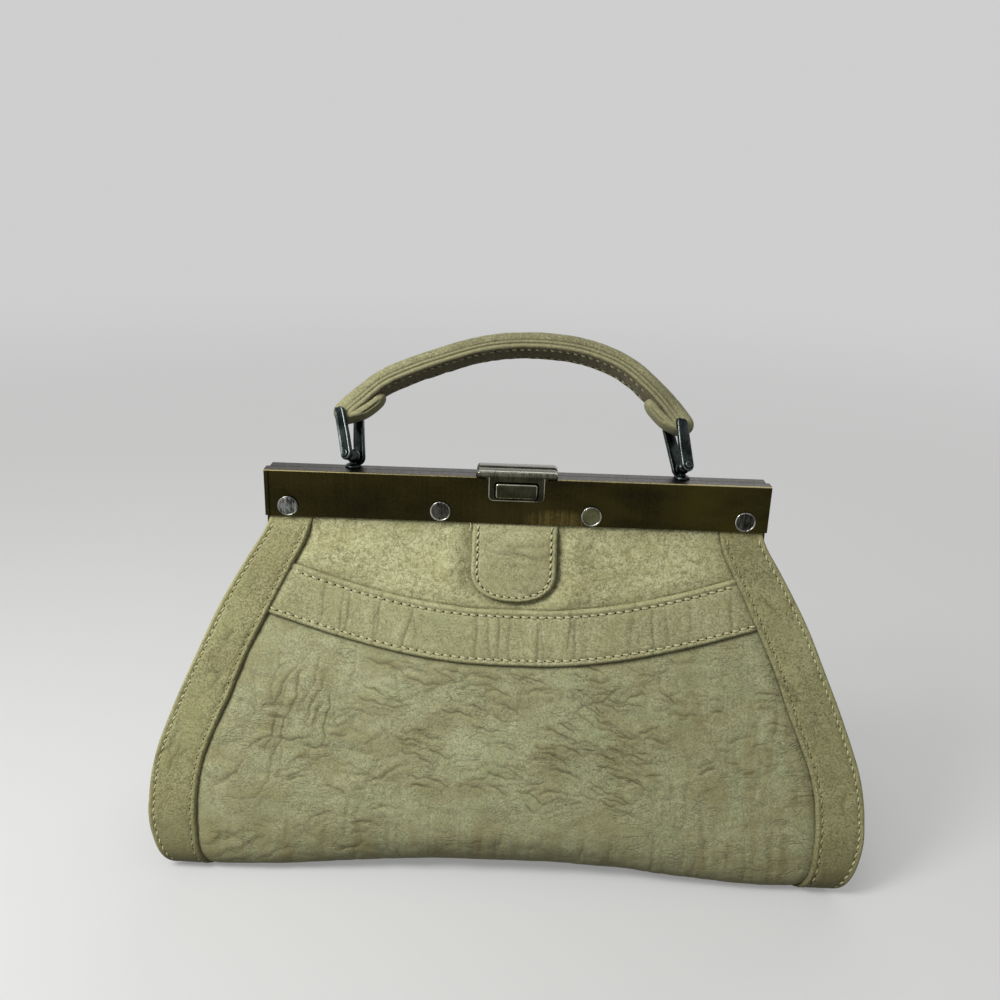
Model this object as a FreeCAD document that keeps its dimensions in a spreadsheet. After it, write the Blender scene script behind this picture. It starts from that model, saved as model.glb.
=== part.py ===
import FreeCAD, Part
import math
import os

import Sketcher

# Framed leather handbag: a hinged metal frame with a push-button clasp, a leaning top handle
# on two twisted links, and a leather body that widens towards a flat base.
# Millimetres, +Z up, front face towards -Y, origin on the floor under the middle of the base.

doc = FreeCAD.newDocument("FramePurse")
sheet = doc.addObject("Spreadsheet::Sheet", "Sizes")

DRIVING_SIZES = (
    # leather body
    ("body_height", 145.5, "floor to the lower edge of the frame rails"),
    ("belly_half", 148.0, "half the widest width of the leather"),
    ("corner_radius", 27.0, "rounding of the lower corners, seen from the front"),
    ("hip_inset", 12.0, "hip inside the widest width, on each side"),
    ("hip_height", 75.0, "height where the straight flank ends"),
    ("base_half_depth", 42.0, "half the depth at the base"),
    ("roll_radius", 18.0, "rounding from the front and back into the base"),
    ("leather", 1.8, "thickness of the body leather"),
    ("leather_fit", 0.05, "play between the leather and the rail around it"),
    ("tuck_depth", 9.0, "leather held inside the rails"),
    ("tuck_gap", 0.5, "leather short of the rail's end wall"),
    ("shoulder_drop", 2.0, "straight leather below the rail"),
    ("side_band_width", 20.0, "width of the side bands"),
    ("band_half", 104.0, "half the width at which the band's sag is measured"),
    ("band_sag", 21.0, "sag of the curved band over that width"),
    ("band_drop", 34.1, "top edge of the curved band below the rails, at the middle"),
    ("band_height", 22.0, "height of the curved band"),
    ("band_proud", 0.8, "band standing proud of the panels"),
    ("tab_width", 35.0, "leather tab under the clasp"),
    ("tab_above_band", 3.1, "end of the tab above the curved band"),
    ("tab_round", 11.0, "rise of the tab's rounded end"),
    ("tab_leather", 1.4, "thickness of the tab"),
    ("tab_gap", 0.2, "tab and band short of the rail's lower edge"),
    ("seam_flange", 4.0, "panel edge standing beyond the gusset"),
    ("lining_cloth", 0.8, "thickness of the lining"),
    ("lining_drop", 1.5, "lining edge below the fold"),
    ("board_length", 218.0, "stiffening board in the base"),
    ("board_width", 44.0, "depth of that board"),
    ("board_thickness", 2.5, "thickness of that board"),
    ("fold_above", 4.0, "fold of the back leather, above the hinge"),
    ("fold_below", 9.5, "fold of the back leather, below the hinge"),
    # frame
    ("rail_length", 204.0, "front rail over its end walls"),
    ("rail_height", 19.5, "height of both rails"),
    ("rail_depth", 5.4, "depth of each rail"),
    ("rail_wall", 1.1, "sheet metal of the rails"),
    ("rail_edge", 1.0, "rounding of the rail's outer top edge"),
    ("part_gap", 0.3, "gap between the closed rails"),
    ("ear_gap", 0.3, "side play between the hinge ears"),
    ("ear_clearance", 0.3, "play between an ear and the leather"),
    ("eye_radius", 3.4, "rounded end of a hinge ear"),
    ("hinge_drop", 18.0, "hinge axis below the rail's lower edge"),
    ("pin_radius", 1.5, "hinge pin"),
    ("pin_clearance", 0.05, "radial play of the swinging ear on its pin"),
    ("pin_head_radius", 2.6, "hinge pin head"),
    ("pin_head", 0.9, "thickness of that head"),
    ("strip_length", 190.0, "clamp strip behind the leather"),
    ("strip_height", 8.0, "height of the clamp strip"),
    ("strip_thickness", 1.0, "thickness of the clamp strip"),
    ("strip_lift", 0.6, "clamp strip above the rail's lower edge"),
    ("rivet_head_radius", 4.2, "rivet head"),
    ("rivet_head", 1.2, "height of the rivet head"),
    ("rivet_shank_radius", 1.5, "rivet shank"),
    ("rivet_tail_radius", 2.4, "spread end of the rivet"),
    ("rivet_tail", 0.6, "thickness of the spread end"),
    ("rivet_lift", 4.6, "rivet centre above the rail's lower edge"),
    ("rivet_outer_share", 0.454, "outer rivets, share of the rail length from the middle"),
    ("rivet_inner_share", 0.15, "inner rivets, share of the rail length from the middle"),
    # clasp
    ("cap_width", 32.8, "clasp cap on top of the rails"),
    ("cap_height", 3.0, "height of the clasp cap"),
    ("cap_rear_reach", 0.4, "cap standing behind the back rail"),
    ("cap_round", 1.2, "rounding of the cap's long edges"),
    ("plate_width", 22.8, "lock plate on the front rail"),
    ("plate_thickness", 1.5, "thickness of the lock plate"),
    ("plate_drop", 9.5, "lock plate below the rail's top"),
    ("button_width", 16.8, "push button"),
    ("button_height", 6.2, "height of the push button"),
    ("button_drop", 5.0, "button centre below the rail's top"),
    ("button_proud", 1.0, "button standing out of the lock plate"),
    ("button_clearance", 0.3, "gap around the button"),
    ("button_lip", 0.9, "button's inner flange beyond its sides"),
    ("button_flange", 0.8, "thickness of that flange"),
    ("button_fit", 0.05, "gap between the flange and what it meets"),
    ("blade_width", 8.0, "latch spring"),
    ("blade_thickness", 0.5, "sheet of the latch spring"),
    ("blade_foot", 1.2, "height of the spring's foot"),
    ("blade_foot_lift", 0.5, "spring's foot above the tucked leather"),
    ("hook_drop", 2.8, "top of the spring's arm below the rail's top"),
    ("hook_reach", 3.0, "spring's arm beyond the parting line"),
    ("hook_rise", 1.1, "hook standing above the arm"),
    ("strike_width", 10.0, "strike bar in the back rail"),
    ("strike_depth", 1.0, "depth of the strike bar"),
    ("strike_drop", 1.2, "height of the strike bar"),
    ("strike_setback", 0.9, "strike bar behind the parting line"),
    # handle and its links
    ("post_half", 67.0, "handle posts from the middle"),
    ("post_base_radius", 1.9, "foot of a handle post"),
    ("post_base", 0.5, "thickness of that foot"),
    ("neck_radius", 0.9, "neck of a handle post"),
    ("ball_radius", 2.8, "ball on a handle post"),
    ("handle_lean", 35.0, "degrees that the handle leans back at rest"),
    ("link_twist", 40.0, "degrees that each link is turned about its own length"),
    ("ball_lift", 4.4, "ball centre above the rails"),
    ("ball_clearance", 0.15, "play between the ball and a link's leg"),
    ("link_length", 19.5, "ball centre to the link's bar"),
    ("leg_thickness", 1.3, "sheet of the link's legs"),
    ("leg_spread", 1.9, "legs further apart at the bar"),
    ("leg_foot_radius", 2.3, "rounded lower end of a leg"),
    ("leg_top_width", 4.8, "width of a leg at the bar"),
    ("bar_thickness", 1.8, "bar across the top of the link"),
    ("stud_radius", 1.0, "stud through a leg"),
    ("stud_head_radius", 1.7, "head of that stud"),
    ("stud_head", 0.6, "height of that head"),
    ("handle_width", 12.0, "front to back"),
    ("handle_height", 9.0, "thickness of the padded handle"),
    ("handle_side", 3.0, "upright side below the rounded top"),
    ("handle_radius", 93.5, "outer radius of the arch"),
    ("handle_rise", 58.0, "top of the arch from the ball centres"),
    ("handle_end_gap", 6.5, "padding short of the link's bar"),
    ("core_radius", 2.8, "cord inside the handle"),
    ("core_lift", 4.2, "cord centre above the handle's flat side"),
    ("underlay_width", 11.0, "leather strip under the handle"),
    ("underlay_leather", 1.2, "thickness of that strip"),
    ("loop_radius", 4.5, "leather loop around the link's bar"),
    ("loop_bore", 2.2, "inside of the loop"),
    ("loop_width", 7.6, "width of the loop"),
    ("tongue_width", 6.0, "end of the loop, turned back under the handle"),
    ("tongue_leather", 1.8, "thickness of that tongue"),
    ("tongue_length", 14.0, "length of that tongue"),
    # shared
    ("overrun", 20.0, "how far cutting tools reach past what they cut"),
)
QUARTER_TURN = 90.0


class Size:
    """A length that knows its value and the expression that gives it."""

    def __init__(self, value, text):
        self.value = value
        self.text = text

    def join(self, other, sign, value):
        text = other.text if isinstance(other, Size) else repr(other)
        return Size(value, f"({self.text} {sign} {text})")

    def __add__(self, other):
        return self.join(other, "+", self.value + number(other))

    def __sub__(self, other):
        return self.join(other, "-", self.value - number(other))

    def __mul__(self, other):
        return self.join(other, "*", self.value * number(other))

    def __truediv__(self, other):
        return self.join(other, "/", self.value / number(other))

    def __neg__(self):
        return Size(-self.value, f"(-{self.text})")

    def root(self):
        return Size(math.sqrt(self.value), f"sqrt({self.text})")


def number(thing):
    return thing.value if isinstance(thing, Size) else thing


class Sizes:
    """The sheet's driving sizes, by name."""


def write_sheet():
    sizes = Sizes()
    for row, (name, value, note) in enumerate(DRIVING_SIZES, start=1):
        sheet.set(f"A{row}", name)
        sheet.set(f"B{row}", str(value))
        sheet.set(f"C{row}", note)
        sheet.setAlias(f"B{row}", name)
        setattr(sizes, name, Size(value, f"Sizes.{name}"))
    doc.recompute()
    return sizes


d = write_sheet()
ZERO = d.overrun * 0
SUBPARTS = []


# Helpers that bind document objects to the sheet

def bind(obj, **sizes):
    for name, size in sizes.items():
        obj.setExpression(name, size.text)
    return obj


def move(obj, x=ZERO, y=ZERO, z=ZERO):
    bind(obj, **{"Placement.Base.x": x, "Placement.Base.y": y, "Placement.Base.z": z})
    return obj


def keep(obj, label):
    """Name an object as one of the pieces of the bag."""
    obj.Label = label
    SUBPARTS.append(obj)
    return obj


def origin_feature(body, role):
    return next(f for f in body.Origin.OriginFeatures if f.Role == role)


def arc_geometry(start, end, radius, centre_left):
    """An arc from start to end, and whether it runs anticlockwise."""
    chord = end - start
    middle = (start + end) * 0.5
    rise = math.sqrt(max(radius * radius - chord.Length ** 2 / 4, 0))
    left = FreeCAD.Vector(-chord.y, chord.x, 0).normalize()
    centre = middle + left * (rise if centre_left else -rise)
    first, last = (start, end) if centre_left else (end, start)
    angles = [math.atan2(p.y - centre.y, p.x - centre.x) for p in (first, last)]
    circle = Part.Circle(centre, FreeCAD.Vector(0, 0, 1), radius)
    return Part.ArcOfCircle(circle, *angles), centre_left


def draw(body, plane, path):
    """A closed outline on one of the body's planes.

    Each step of the path is (across, up) for a straight side that ends there, or
    (across, up, radius, centre_left) for a round one.
    """
    sketch = body.newObject("Sketcher::SketchObject", body.Name + "Sketch")
    sketch.AttachmentSupport = (origin_feature(body, plane), [""])
    sketch.MapMode = "FlatFace"
    corners = [FreeCAD.Vector(step[0].value, step[1].value, 0) for step in path]
    tails = []
    for index, step in enumerate(path):
        start, end = corners[index - 1], corners[index]
        forward = True
        if len(step) == 2:
            side = sketch.addGeometry(Part.LineSegment(start, end))
        else:
            curve, forward = arc_geometry(start, end, step[2].value, step[3])
            side = sketch.addGeometry(curve)
        tails.append((side, 1 if forward else 2, 2 if forward else 1))
    for index, (side, first, last) in enumerate(tails):
        before = tails[index - 1]
        sketch.addConstraint(Sketcher.Constraint("Coincident", before[0], before[2], side, first))
        for kind, size in zip(("DistanceX", "DistanceY"), path[index][:2]):
            rule = Sketcher.Constraint(kind, -1, 1, side, last, size.value)
            sketch.setExpression(f"Constraints[{sketch.addConstraint(rule)}]", size.text)
        if len(path[index]) > 2:
            radius = path[index][2]
            rule = Sketcher.Constraint("Radius", side, radius.value)
            sketch.setExpression(f"Constraints[{sketch.addConstraint(rule)}]", radius.text)
    return sketch


def padded(name, plane, path, length):
    """A body made by padding a closed outline, half each way."""
    body = doc.addObject("PartDesign::Body", name)
    sketch = draw(body, plane, path)
    pad = body.newObject("PartDesign::Pad", name + "Pad")
    pad.Profile = sketch
    pad.SideType = "Symmetric"
    bind(pad, Length=length)
    return body


def turned(name, plane, path, axis, angle, hole=None):
    """A body made by turning a closed outline about one of the body's axes, half each way."""
    body = doc.addObject("PartDesign::Body", name)
    sketch = draw(body, plane, path)
    if hole:
        across, up, radius = hole
        centre = FreeCAD.Vector(across.value, up.value, 0)
        ring = sketch.addGeometry(Part.Circle(centre, FreeCAD.Vector(0, 0, 1), radius.value))
        rules = (
            (Sketcher.Constraint("DistanceX", -1, 1, ring, 3, across.value), across),
            (Sketcher.Constraint("DistanceY", -1, 1, ring, 3, up.value), up),
            (Sketcher.Constraint("Radius", ring, radius.value), radius),
        )
        for rule, size in rules:
            sketch.setExpression(f"Constraints[{sketch.addConstraint(rule)}]", size.text)
    turn = body.newObject("PartDesign::Revolution", name + "Turn")
    turn.Profile = sketch
    turn.ReferenceAxis = (origin_feature(body, axis), [""])
    turn.Midplane = True
    turn.Angle = angle
    return body


def box(name, low, high):
    """A block between two corners."""
    block = doc.addObject("Part::Box", name)
    spans = [high[i] - low[i] for i in range(3)]
    bind(block, Length=spans[0], Width=spans[1], Height=spans[2])
    return move(block, *low)


def rod(name, radius, length, direction):
    """A cylinder that starts at the origin and runs along a direction."""
    cylinder = doc.addObject("Part::Cylinder", name)
    bind(cylinder, Radius=radius, Height=length)
    upright = FreeCAD.Vector(0, 0, 1)
    cylinder.Placement = FreeCAD.Placement(
        FreeCAD.Vector(), FreeCAD.Rotation(upright, FreeCAD.Vector(*direction)))
    return cylinder


def joined(name, shapes):
    fuse = doc.addObject("Part::MultiFuse", name)
    fuse.Shapes = shapes
    return fuse


def together(name, shapes):
    group = doc.addObject("Part::Compound", name)
    group.Links = shapes
    return group


def cut(name, base, *tools):
    for index, tool in enumerate(tools):
        step = doc.addObject("Part::Cut", f"{name}{index}")
        step.Base = base
        step.Tool = tool
        base = step
    return base


def common(name, base, *tools):
    for index, tool in enumerate(tools):
        step = doc.addObject("Part::Common", f"{name}{index}")
        step.Base = base
        step.Tool = tool
        base = step
    return base


def arc_radius(half_chord, rise):
    """Radius of an arc of a given half chord and rise."""
    return (half_chord * half_chord + rise * rise) / (rise * 2)


# Places that several pieces share

RAIL_TOP = d.body_height + d.rail_height
RAIL_HALF = d.rail_length / 2
HALF_GAP = d.part_gap / 2
RAIL_OUTSIDE = HALF_GAP + d.rail_depth
RAIL_INSIDE = RAIL_OUTSIDE - d.rail_wall
RAIL_CEILING = RAIL_TOP - d.rail_wall
HINGE_HEIGHT = d.body_height - d.hinge_drop
EAR_STEP = d.rail_wall + d.ear_gap
MOUTH = RAIL_INSIDE - d.leather_fit
TUCK_TOP = d.body_height + d.tuck_depth
SHOULDER = d.body_height - d.shoulder_drop
SHOULDER_HALF = RAIL_HALF - d.rail_wall - d.tuck_gap
BASE_EDGE = d.base_half_depth - d.roll_radius
BAND_TOP = d.body_height - d.band_drop
FOLD_TOP = HINGE_HEIGHT + d.fold_above
FOLD_BOTTOM = HINGE_HEIGHT - d.fold_below
FULL_WIDTH = d.belly_half * 2 + d.overrun
FULL_DEPTH = d.base_half_depth * 2 + d.overrun
RIVET_HEIGHT = d.body_height + d.rivet_lift
RIVET_SPOTS = (
    -d.rail_length * d.rivet_outer_share,
    -d.rail_length * d.rivet_inner_share,
    d.rail_length * d.rivet_inner_share,
    d.rail_length * d.rivet_outer_share,
)


# Leather body

def wall_strip(name, side, lift, thickness, top, top_lift=ZERO):
    """The front or back wall in section, from its top edge round into the base.

    side is -1 for the front and 1 for the back, and lift moves the outer face outwards.
    """
    outside = lift
    inside = lift - thickness
    roll_in = d.roll_radius + inside
    path = [
        ((MOUTH + outside) * side, top + top_lift),
        ((MOUTH + outside) * side, SHOULDER),
        ((d.base_half_depth + outside) * side, d.roll_radius),
        (BASE_EDGE * side, -outside, d.roll_radius + outside, side < 0),
        (BASE_EDGE * side, -inside),
        ((d.base_half_depth + inside) * side, d.roll_radius, roll_in, side > 0),
        ((MOUTH + inside) * side, SHOULDER),
        ((MOUTH + inside) * side, top + top_lift),
    ]
    return padded(name, "YZ_Plane", path, FULL_WIDTH)


def outline_path(inset, bottom, top_half):
    """The bag seen from the front, brought in by an inset on both sides."""
    belly = d.belly_half - inset
    hip = belly - d.hip_inset
    flank = arc_radius(d.hip_height - d.corner_radius, d.hip_inset)
    top = RAIL_TOP
    right = [
        (belly - d.corner_radius, bottom),
        (belly, d.corner_radius + bottom, d.corner_radius, True),
        (hip, d.hip_height + bottom, flank, True),
        (top_half - inset, SHOULDER),
        (top_half - inset, top),
    ]
    left = [
        (-(top_half - inset), top),
        (-(top_half - inset), SHOULDER),
        (-hip, d.hip_height + bottom),
        (-belly, d.corner_radius + bottom, flank, True),
        (-(belly - d.corner_radius), bottom, d.corner_radius, True),
    ]
    return right + left


def outline_prism(name, inset, bottom=ZERO, top_half=SHOULDER_HALF):
    return padded(name, "XZ_Plane", outline_path(inset, bottom, top_half), FULL_DEPTH)


def under_band_edge(name, middle):
    """Everything below an edge of the curved band."""
    half = d.band_half
    wide = d.belly_half + d.overrun
    edge = middle + d.band_sag
    path = [
        (-wide, -d.overrun),
        (wide, -d.overrun),
        (wide, edge),
        (half, edge),
        (-half, edge, arc_radius(half, d.band_sag), False),
        (-wide, edge),
    ]
    return padded(name, "XZ_Plane", path, FULL_DEPTH)


def inner_profile(name, inset):
    """The inside of the walls, seen from the side, filled."""
    mouth = MOUTH - inset
    deep = d.base_half_depth - inset
    roll = d.roll_radius - inset
    path = [
        (BASE_EDGE, inset),
        (deep, d.roll_radius, roll, True),
        (mouth, SHOULDER),
        (mouth, TUCK_TOP),
        (-mouth, TUCK_TOP),
        (-mouth, SHOULDER),
        (-deep, d.roll_radius),
        (-BASE_EDGE, inset, roll, True),
    ]
    return padded(name, "YZ_Plane", path, FULL_WIDTH)


def half_block(name, side):
    """Everything on one side of the middle, across the bag."""
    reach = d.belly_half + d.overrun
    low, high = (-reach, ZERO) if side < 0 else (ZERO, reach)
    deep = d.base_half_depth + d.overrun
    return box(name, (low, -deep, -d.overrun), (high, deep, RAIL_TOP))


def slab(name, low, high):
    """Everything between two heights."""
    wide = d.belly_half + d.overrun
    deep = d.base_half_depth + d.overrun
    return box(name, (-wide, -deep, low), (wide, deep, high))


def front_leather():
    outline = outline_prism("Outline", ZERO)
    middle = outline_prism("Middle", d.side_band_width)
    above_panel = under_band_edge("BandTop", BAND_TOP)
    below_band = under_band_edge("BandBottom", BAND_TOP - d.band_height)
    wall = wall_strip("FrontWall", -1, ZERO, d.leather, TUCK_TOP)
    proud = wall_strip("FrontProud", -1, d.band_proud, d.leather + d.band_proud, TUCK_TOP)
    centre = common("FrontCentre", wall, middle)
    keep(common("LowerFront", centre, below_band), "front_panel")
    keep(cut("UpperFront", centre, above_panel), "front_yoke")
    band = common("BandBlank", proud, middle, above_panel)
    keep(cut("Band", band, below_band), "front_band")
    flanks = cut("FrontFlanks", common("FrontOutline", wall, outline), middle)
    for side, word in ((-1, "left"), (1, "right")):
        half = half_block(f"FrontHalf{word}", side)
        keep(common(f"FrontSide{word}", flanks, half), f"front_side_band_{word}")


def clasp_tab():
    layer = wall_strip("TabLayer", -1, d.tab_leather, d.tab_leather, d.body_height, -d.tab_gap)
    half = d.tab_width / 2
    bottom = BAND_TOP + d.tab_above_band
    path = [
        (half, d.body_height),
        (-half, d.body_height),
        (-half, bottom + d.tab_round),
        (half, bottom + d.tab_round, arc_radius(half, d.tab_round), True),
    ]
    shape = padded("TabShape", "XZ_Plane", path, FULL_DEPTH)
    keep(common("Tab", layer, shape), "clasp_tab")


def back_leather():
    wall = wall_strip("BackWall", 1, ZERO, d.leather, TUCK_TOP)
    outline = outline_prism("BackOutline", ZERO, top_half=SHOULDER_HALF - EAR_STEP)
    middle = outline_prism("BackMiddle", d.side_band_width, top_half=SHOULDER_HALF - EAR_STEP)
    whole = common("BackWhole", wall, outline)
    lower = common("BackLower", whole, slab("BelowFold", -d.overrun, FOLD_BOTTOM))
    keep(common("BackFold", whole, slab("InFold", FOLD_BOTTOM, FOLD_TOP)), "back_fold")
    keep(common("BackUpper", whole, slab("AboveFold", FOLD_TOP, RAIL_TOP)), "back_yoke")
    keep(common("BackCentre", lower, middle), "back_panel")
    flanks = cut("BackFlanks", lower, middle)
    for side, word in ((-1, "left"), (1, "right")):
        half = half_block(f"BackHalf{word}", side)
        keep(common(f"BackSide{word}", flanks, half), f"back_side_band_{word}")


def base_and_gussets():
    reach = d.belly_half
    blank = box("BaseBlank", (-reach, -BASE_EDGE, ZERO), (reach, BASE_EDGE, d.leather))
    keep(common("Base", blank, outline_prism("BaseOutline", ZERO)), "base_panel")
    inside = inner_profile("InsideWalls", d.leather)
    outer = outline_prism("GussetOuter", d.seam_flange)
    inner = outline_prism("GussetInner", d.seam_flange + d.leather, d.leather)
    ring = cut("GussetRing", common("GussetBlank", inside, outer), inner)
    side_low = d.belly_half - d.seam_flange - d.leather - d.corner_radius
    for side, word in ((-1, "left"), (1, "right")):
        deep = d.base_half_depth
        spans = (side_low, d.belly_half) if side > 0 else (-d.belly_half, -side_low)
        zone = box(f"GussetZone{word}", (spans[0], -deep, ZERO), (spans[1], deep, FOLD_BOTTOM))
        keep(common(f"Gusset{word}", ring, zone), f"gusset_{word}")


def lining_and_board():
    hollow = d.leather + d.lining_cloth
    outer = common("LiningOuter", inner_profile("LiningFace", d.leather),
                   outline_prism("LiningSides", d.seam_flange + d.leather, d.leather))
    inner = common("LiningInner", inner_profile("LiningHollow", hollow),
                   outline_prism("LiningHollowSides", d.seam_flange + hollow, hollow))
    shell = cut("LiningShell", outer, inner)
    top = FOLD_BOTTOM - d.lining_drop
    keep(common("Lining", shell, slab("BelowLiningEdge", ZERO, top)), "lining")
    half_length, half_width = d.board_length / 2, d.board_width / 2
    board = box("Board", (-half_length, -half_width, hollow),
                (half_length, half_width, hollow + d.board_thickness))
    keep(board, "base_board")


# Hinged frame

def rail_holes(name, side):
    """Rivet holes through a rail, its leather and its clamp strip."""
    holes = []
    for index, spot in enumerate(RIVET_SPOTS):
        hole = rod(f"{name}{index}", d.rivet_shank_radius, d.overrun, (0, side, 0))
        holes.append(move(hole, spot, ZERO, RIVET_HEIGHT))
    return joined(name, holes)


def rail_body(name, side, half_length):
    """A rail: one bent sheet for the face and top, with an end wall and hinge ear at each end."""
    outside, inside, gap = RAIL_OUTSIDE * side, RAIL_INSIDE * side, HALF_GAP * side
    edge = d.rail_edge
    path = [
        (inside, d.body_height),
        (inside, RAIL_CEILING),
        (gap, RAIL_CEILING),
        (gap, RAIL_TOP),
        (outside - edge * side, RAIL_TOP),
        (outside, RAIL_TOP - edge, edge, side < 0),
        (outside, d.body_height),
    ]
    sheet_metal = padded(name + "Sheet", "YZ_Plane", path, half_length * 2)
    neck = (MOUTH - d.leather - d.ear_clearance) * side
    eye = d.eye_radius * side
    ear_path = [
        (outside - edge * side, RAIL_CEILING),
        (outside, RAIL_TOP - edge - edge),
        (outside, d.body_height),
        (neck, d.body_height),
        (eye, HINGE_HEIGHT),
        (ZERO, HINGE_HEIGHT - d.eye_radius, d.eye_radius, side < 0),
        (-eye, HINGE_HEIGHT, d.eye_radius, side < 0),
        (gap, d.body_height),
        (gap, RAIL_CEILING),
    ]
    ears = []
    for end in (-1, 1):
        ear = padded(f"{name}Ear{'AB'[end > 0]}", "YZ_Plane", ear_path, d.rail_wall)
        ears.append(move(ear, (half_length - d.rail_wall / 2) * end))
    return joined(name + "Blank", [sheet_metal] + ears)


def pin_bore(name, radius):
    bore = rod(name, radius, d.rail_length + d.overrun * 2, (1, 0, 0))
    return move(bore, -RAIL_HALF - d.overrun, ZERO, HINGE_HEIGHT)


def front_frame():
    rail = rail_body("FrontRail", -1, RAIL_HALF)
    half_width = d.button_width / 2 + d.button_clearance
    half_height = d.button_height / 2 + d.button_clearance
    middle = RAIL_TOP - d.button_drop
    window = box("RailWindow", (-half_width, -RAIL_OUTSIDE - d.overrun, middle - half_height),
                 (half_width, -HALF_GAP, middle + half_height))
    keep(cut("FrontRailDone", rail, rail_holes("FrontHoles", -1), window,
             pin_bore("FrontBore", d.pin_radius)), "front_rail")


def back_frame():
    rail = rail_body("BackRail", 1, RAIL_HALF - EAR_STEP)
    seats = []
    for end in (-1, 1):
        seat = rod(f"PostSeat{'AB'[end > 0]}", d.neck_radius, d.overrun, (0, 0, 1))
        seats.append(move(seat, d.post_half * end, HALF_GAP + d.rail_depth / 2, RAIL_CEILING - d.rail_wall))
    keep(cut("BackRailDone", rail, rail_holes("BackHoles", 1), joined("PostSeats", seats),
             pin_bore("BackBore", d.pin_radius + d.pin_clearance)), "back_rail")


def hinge_pins():
    """A pin through both ears, with a head at each end."""
    inner = RAIL_HALF - EAR_STEP - d.rail_wall - d.ear_gap
    span = RAIL_HALF - inner
    for end, word in ((-1, "left"), (1, "right")):
        direction = (end, 0, 0)
        shank = move(rod(f"PinShank{word}", d.pin_radius, span, direction), inner * end, ZERO, HINGE_HEIGHT)
        heads = []
        for name, place in (("Inner", inner - d.pin_head), ("Outer", RAIL_HALF)):
            head = rod(f"Pin{name}{word}", d.pin_head_radius, d.pin_head, direction)
            heads.append(move(head, place * end, ZERO, HINGE_HEIGHT))
        keep(joined(f"Pin{word}", [shank] + heads), f"hinge_pin_{word}")


def clamp_strip(side, word):
    half = d.strip_length / 2
    face = MOUTH - d.leather
    spans = ((face - d.strip_thickness) * side, face * side)
    low = d.body_height + d.strip_lift
    strip = box(f"Strip{word}", (-half, min(spans, key=number), low),
                (half, max(spans, key=number), low + d.strip_height))
    holes = rail_holes(f"StripHoles{word}", side)
    keep(cut(f"StripDone{word}", strip, holes), f"{word}_clamp_strip")


def rivets(side, word):
    """Four rivets through rail, leather and clamp strip."""
    tail_face = MOUTH - d.leather - d.strip_thickness
    rows = (
        ("Head", d.rivet_head_radius, d.rivet_head, RAIL_OUTSIDE),
        ("Shank", d.rivet_shank_radius, RAIL_OUTSIDE - tail_face, tail_face),
        ("Tail", d.rivet_tail_radius, d.rivet_tail, tail_face - d.rivet_tail),
    )
    group = []
    for index, spot in enumerate(RIVET_SPOTS):
        solids = []
        for name, radius, length, start in rows:
            piece = rod(f"Rivet{name}{word}{index}", radius, length, (0, side, 0))
            solids.append(move(piece, spot, start * side, RIVET_HEIGHT))
        group.append(joined(f"Rivet{word}{index}", solids))
    keep(together(f"Rivets{word}", group), f"{word}_rivets")


def rivet_leather():
    """Punch the rivet holes through the tucked leather."""
    for index, obj in enumerate(list(SUBPARTS)):
        side = {"front_yoke": -1, "back_yoke": 1}.get(obj.Label)
        side = -1 if obj.Label.startswith("front_side_band") else side
        if side is None:
            continue
        label = obj.Label
        holes = rail_holes(f"LeatherHoles{index}", side)
        punched = cut(f"Punched{index}", obj, holes)
        obj.Label = label + "_blank"
        SUBPARTS.remove(obj)
        keep(punched, label)


# Clasp

def clasp_cap_block(name, side, reach):
    """Half of the cap that covers both rails, with rounded long edges."""
    near, far = HALF_GAP * side, (RAIL_OUTSIDE + reach) * side
    crown = RAIL_TOP + d.cap_height
    path = [
        (near, RAIL_TOP),
        (near, crown),
        (far - d.cap_round * side, crown),
        (far, crown - d.cap_round, d.cap_round, side < 0),
        (far, RAIL_TOP),
    ]
    return padded(name, "YZ_Plane", path, d.cap_width)


def clasp():
    front = RAIL_OUTSIDE + d.plate_thickness
    middle = RAIL_TOP - d.button_drop
    half_width, half_height = d.button_width / 2, d.button_height / 2
    half_plate = d.plate_width / 2
    gap = d.button_clearance
    plate = box("Plate", (-half_plate, -front, RAIL_TOP - d.plate_drop),
                (half_plate, -RAIL_OUTSIDE, RAIL_TOP))
    window = box("PlateWindow", (-half_width - gap, -front - d.overrun, middle - half_height - gap),
                 (half_width + gap, ZERO, middle + half_height + gap))
    blank = joined("PlateBlank", [plate, clasp_cap_block("FrontCap", -1, d.plate_thickness)])
    keep(cut("LockPlate", blank, window), "lock_plate")
    keep(clasp_cap_block("RearCap", 1, d.cap_rear_reach), "clasp_cap")
    flange_face = RAIL_INSIDE - d.button_fit
    flange_back = flange_face - d.button_flange
    cap = box("ButtonCap", (-half_width, -front - d.button_proud, middle - half_height),
              (half_width, -flange_face, middle + half_height))
    flange_half = half_width + gap + d.button_lip
    flange = box("ButtonFlange", (-flange_half, -flange_face, middle - half_height),
                 (flange_half, -flange_back, middle + half_height))
    keep(joined("Button", [cap, flange]), "push_button")
    latch_spring(flange_back - d.button_fit)


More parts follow.
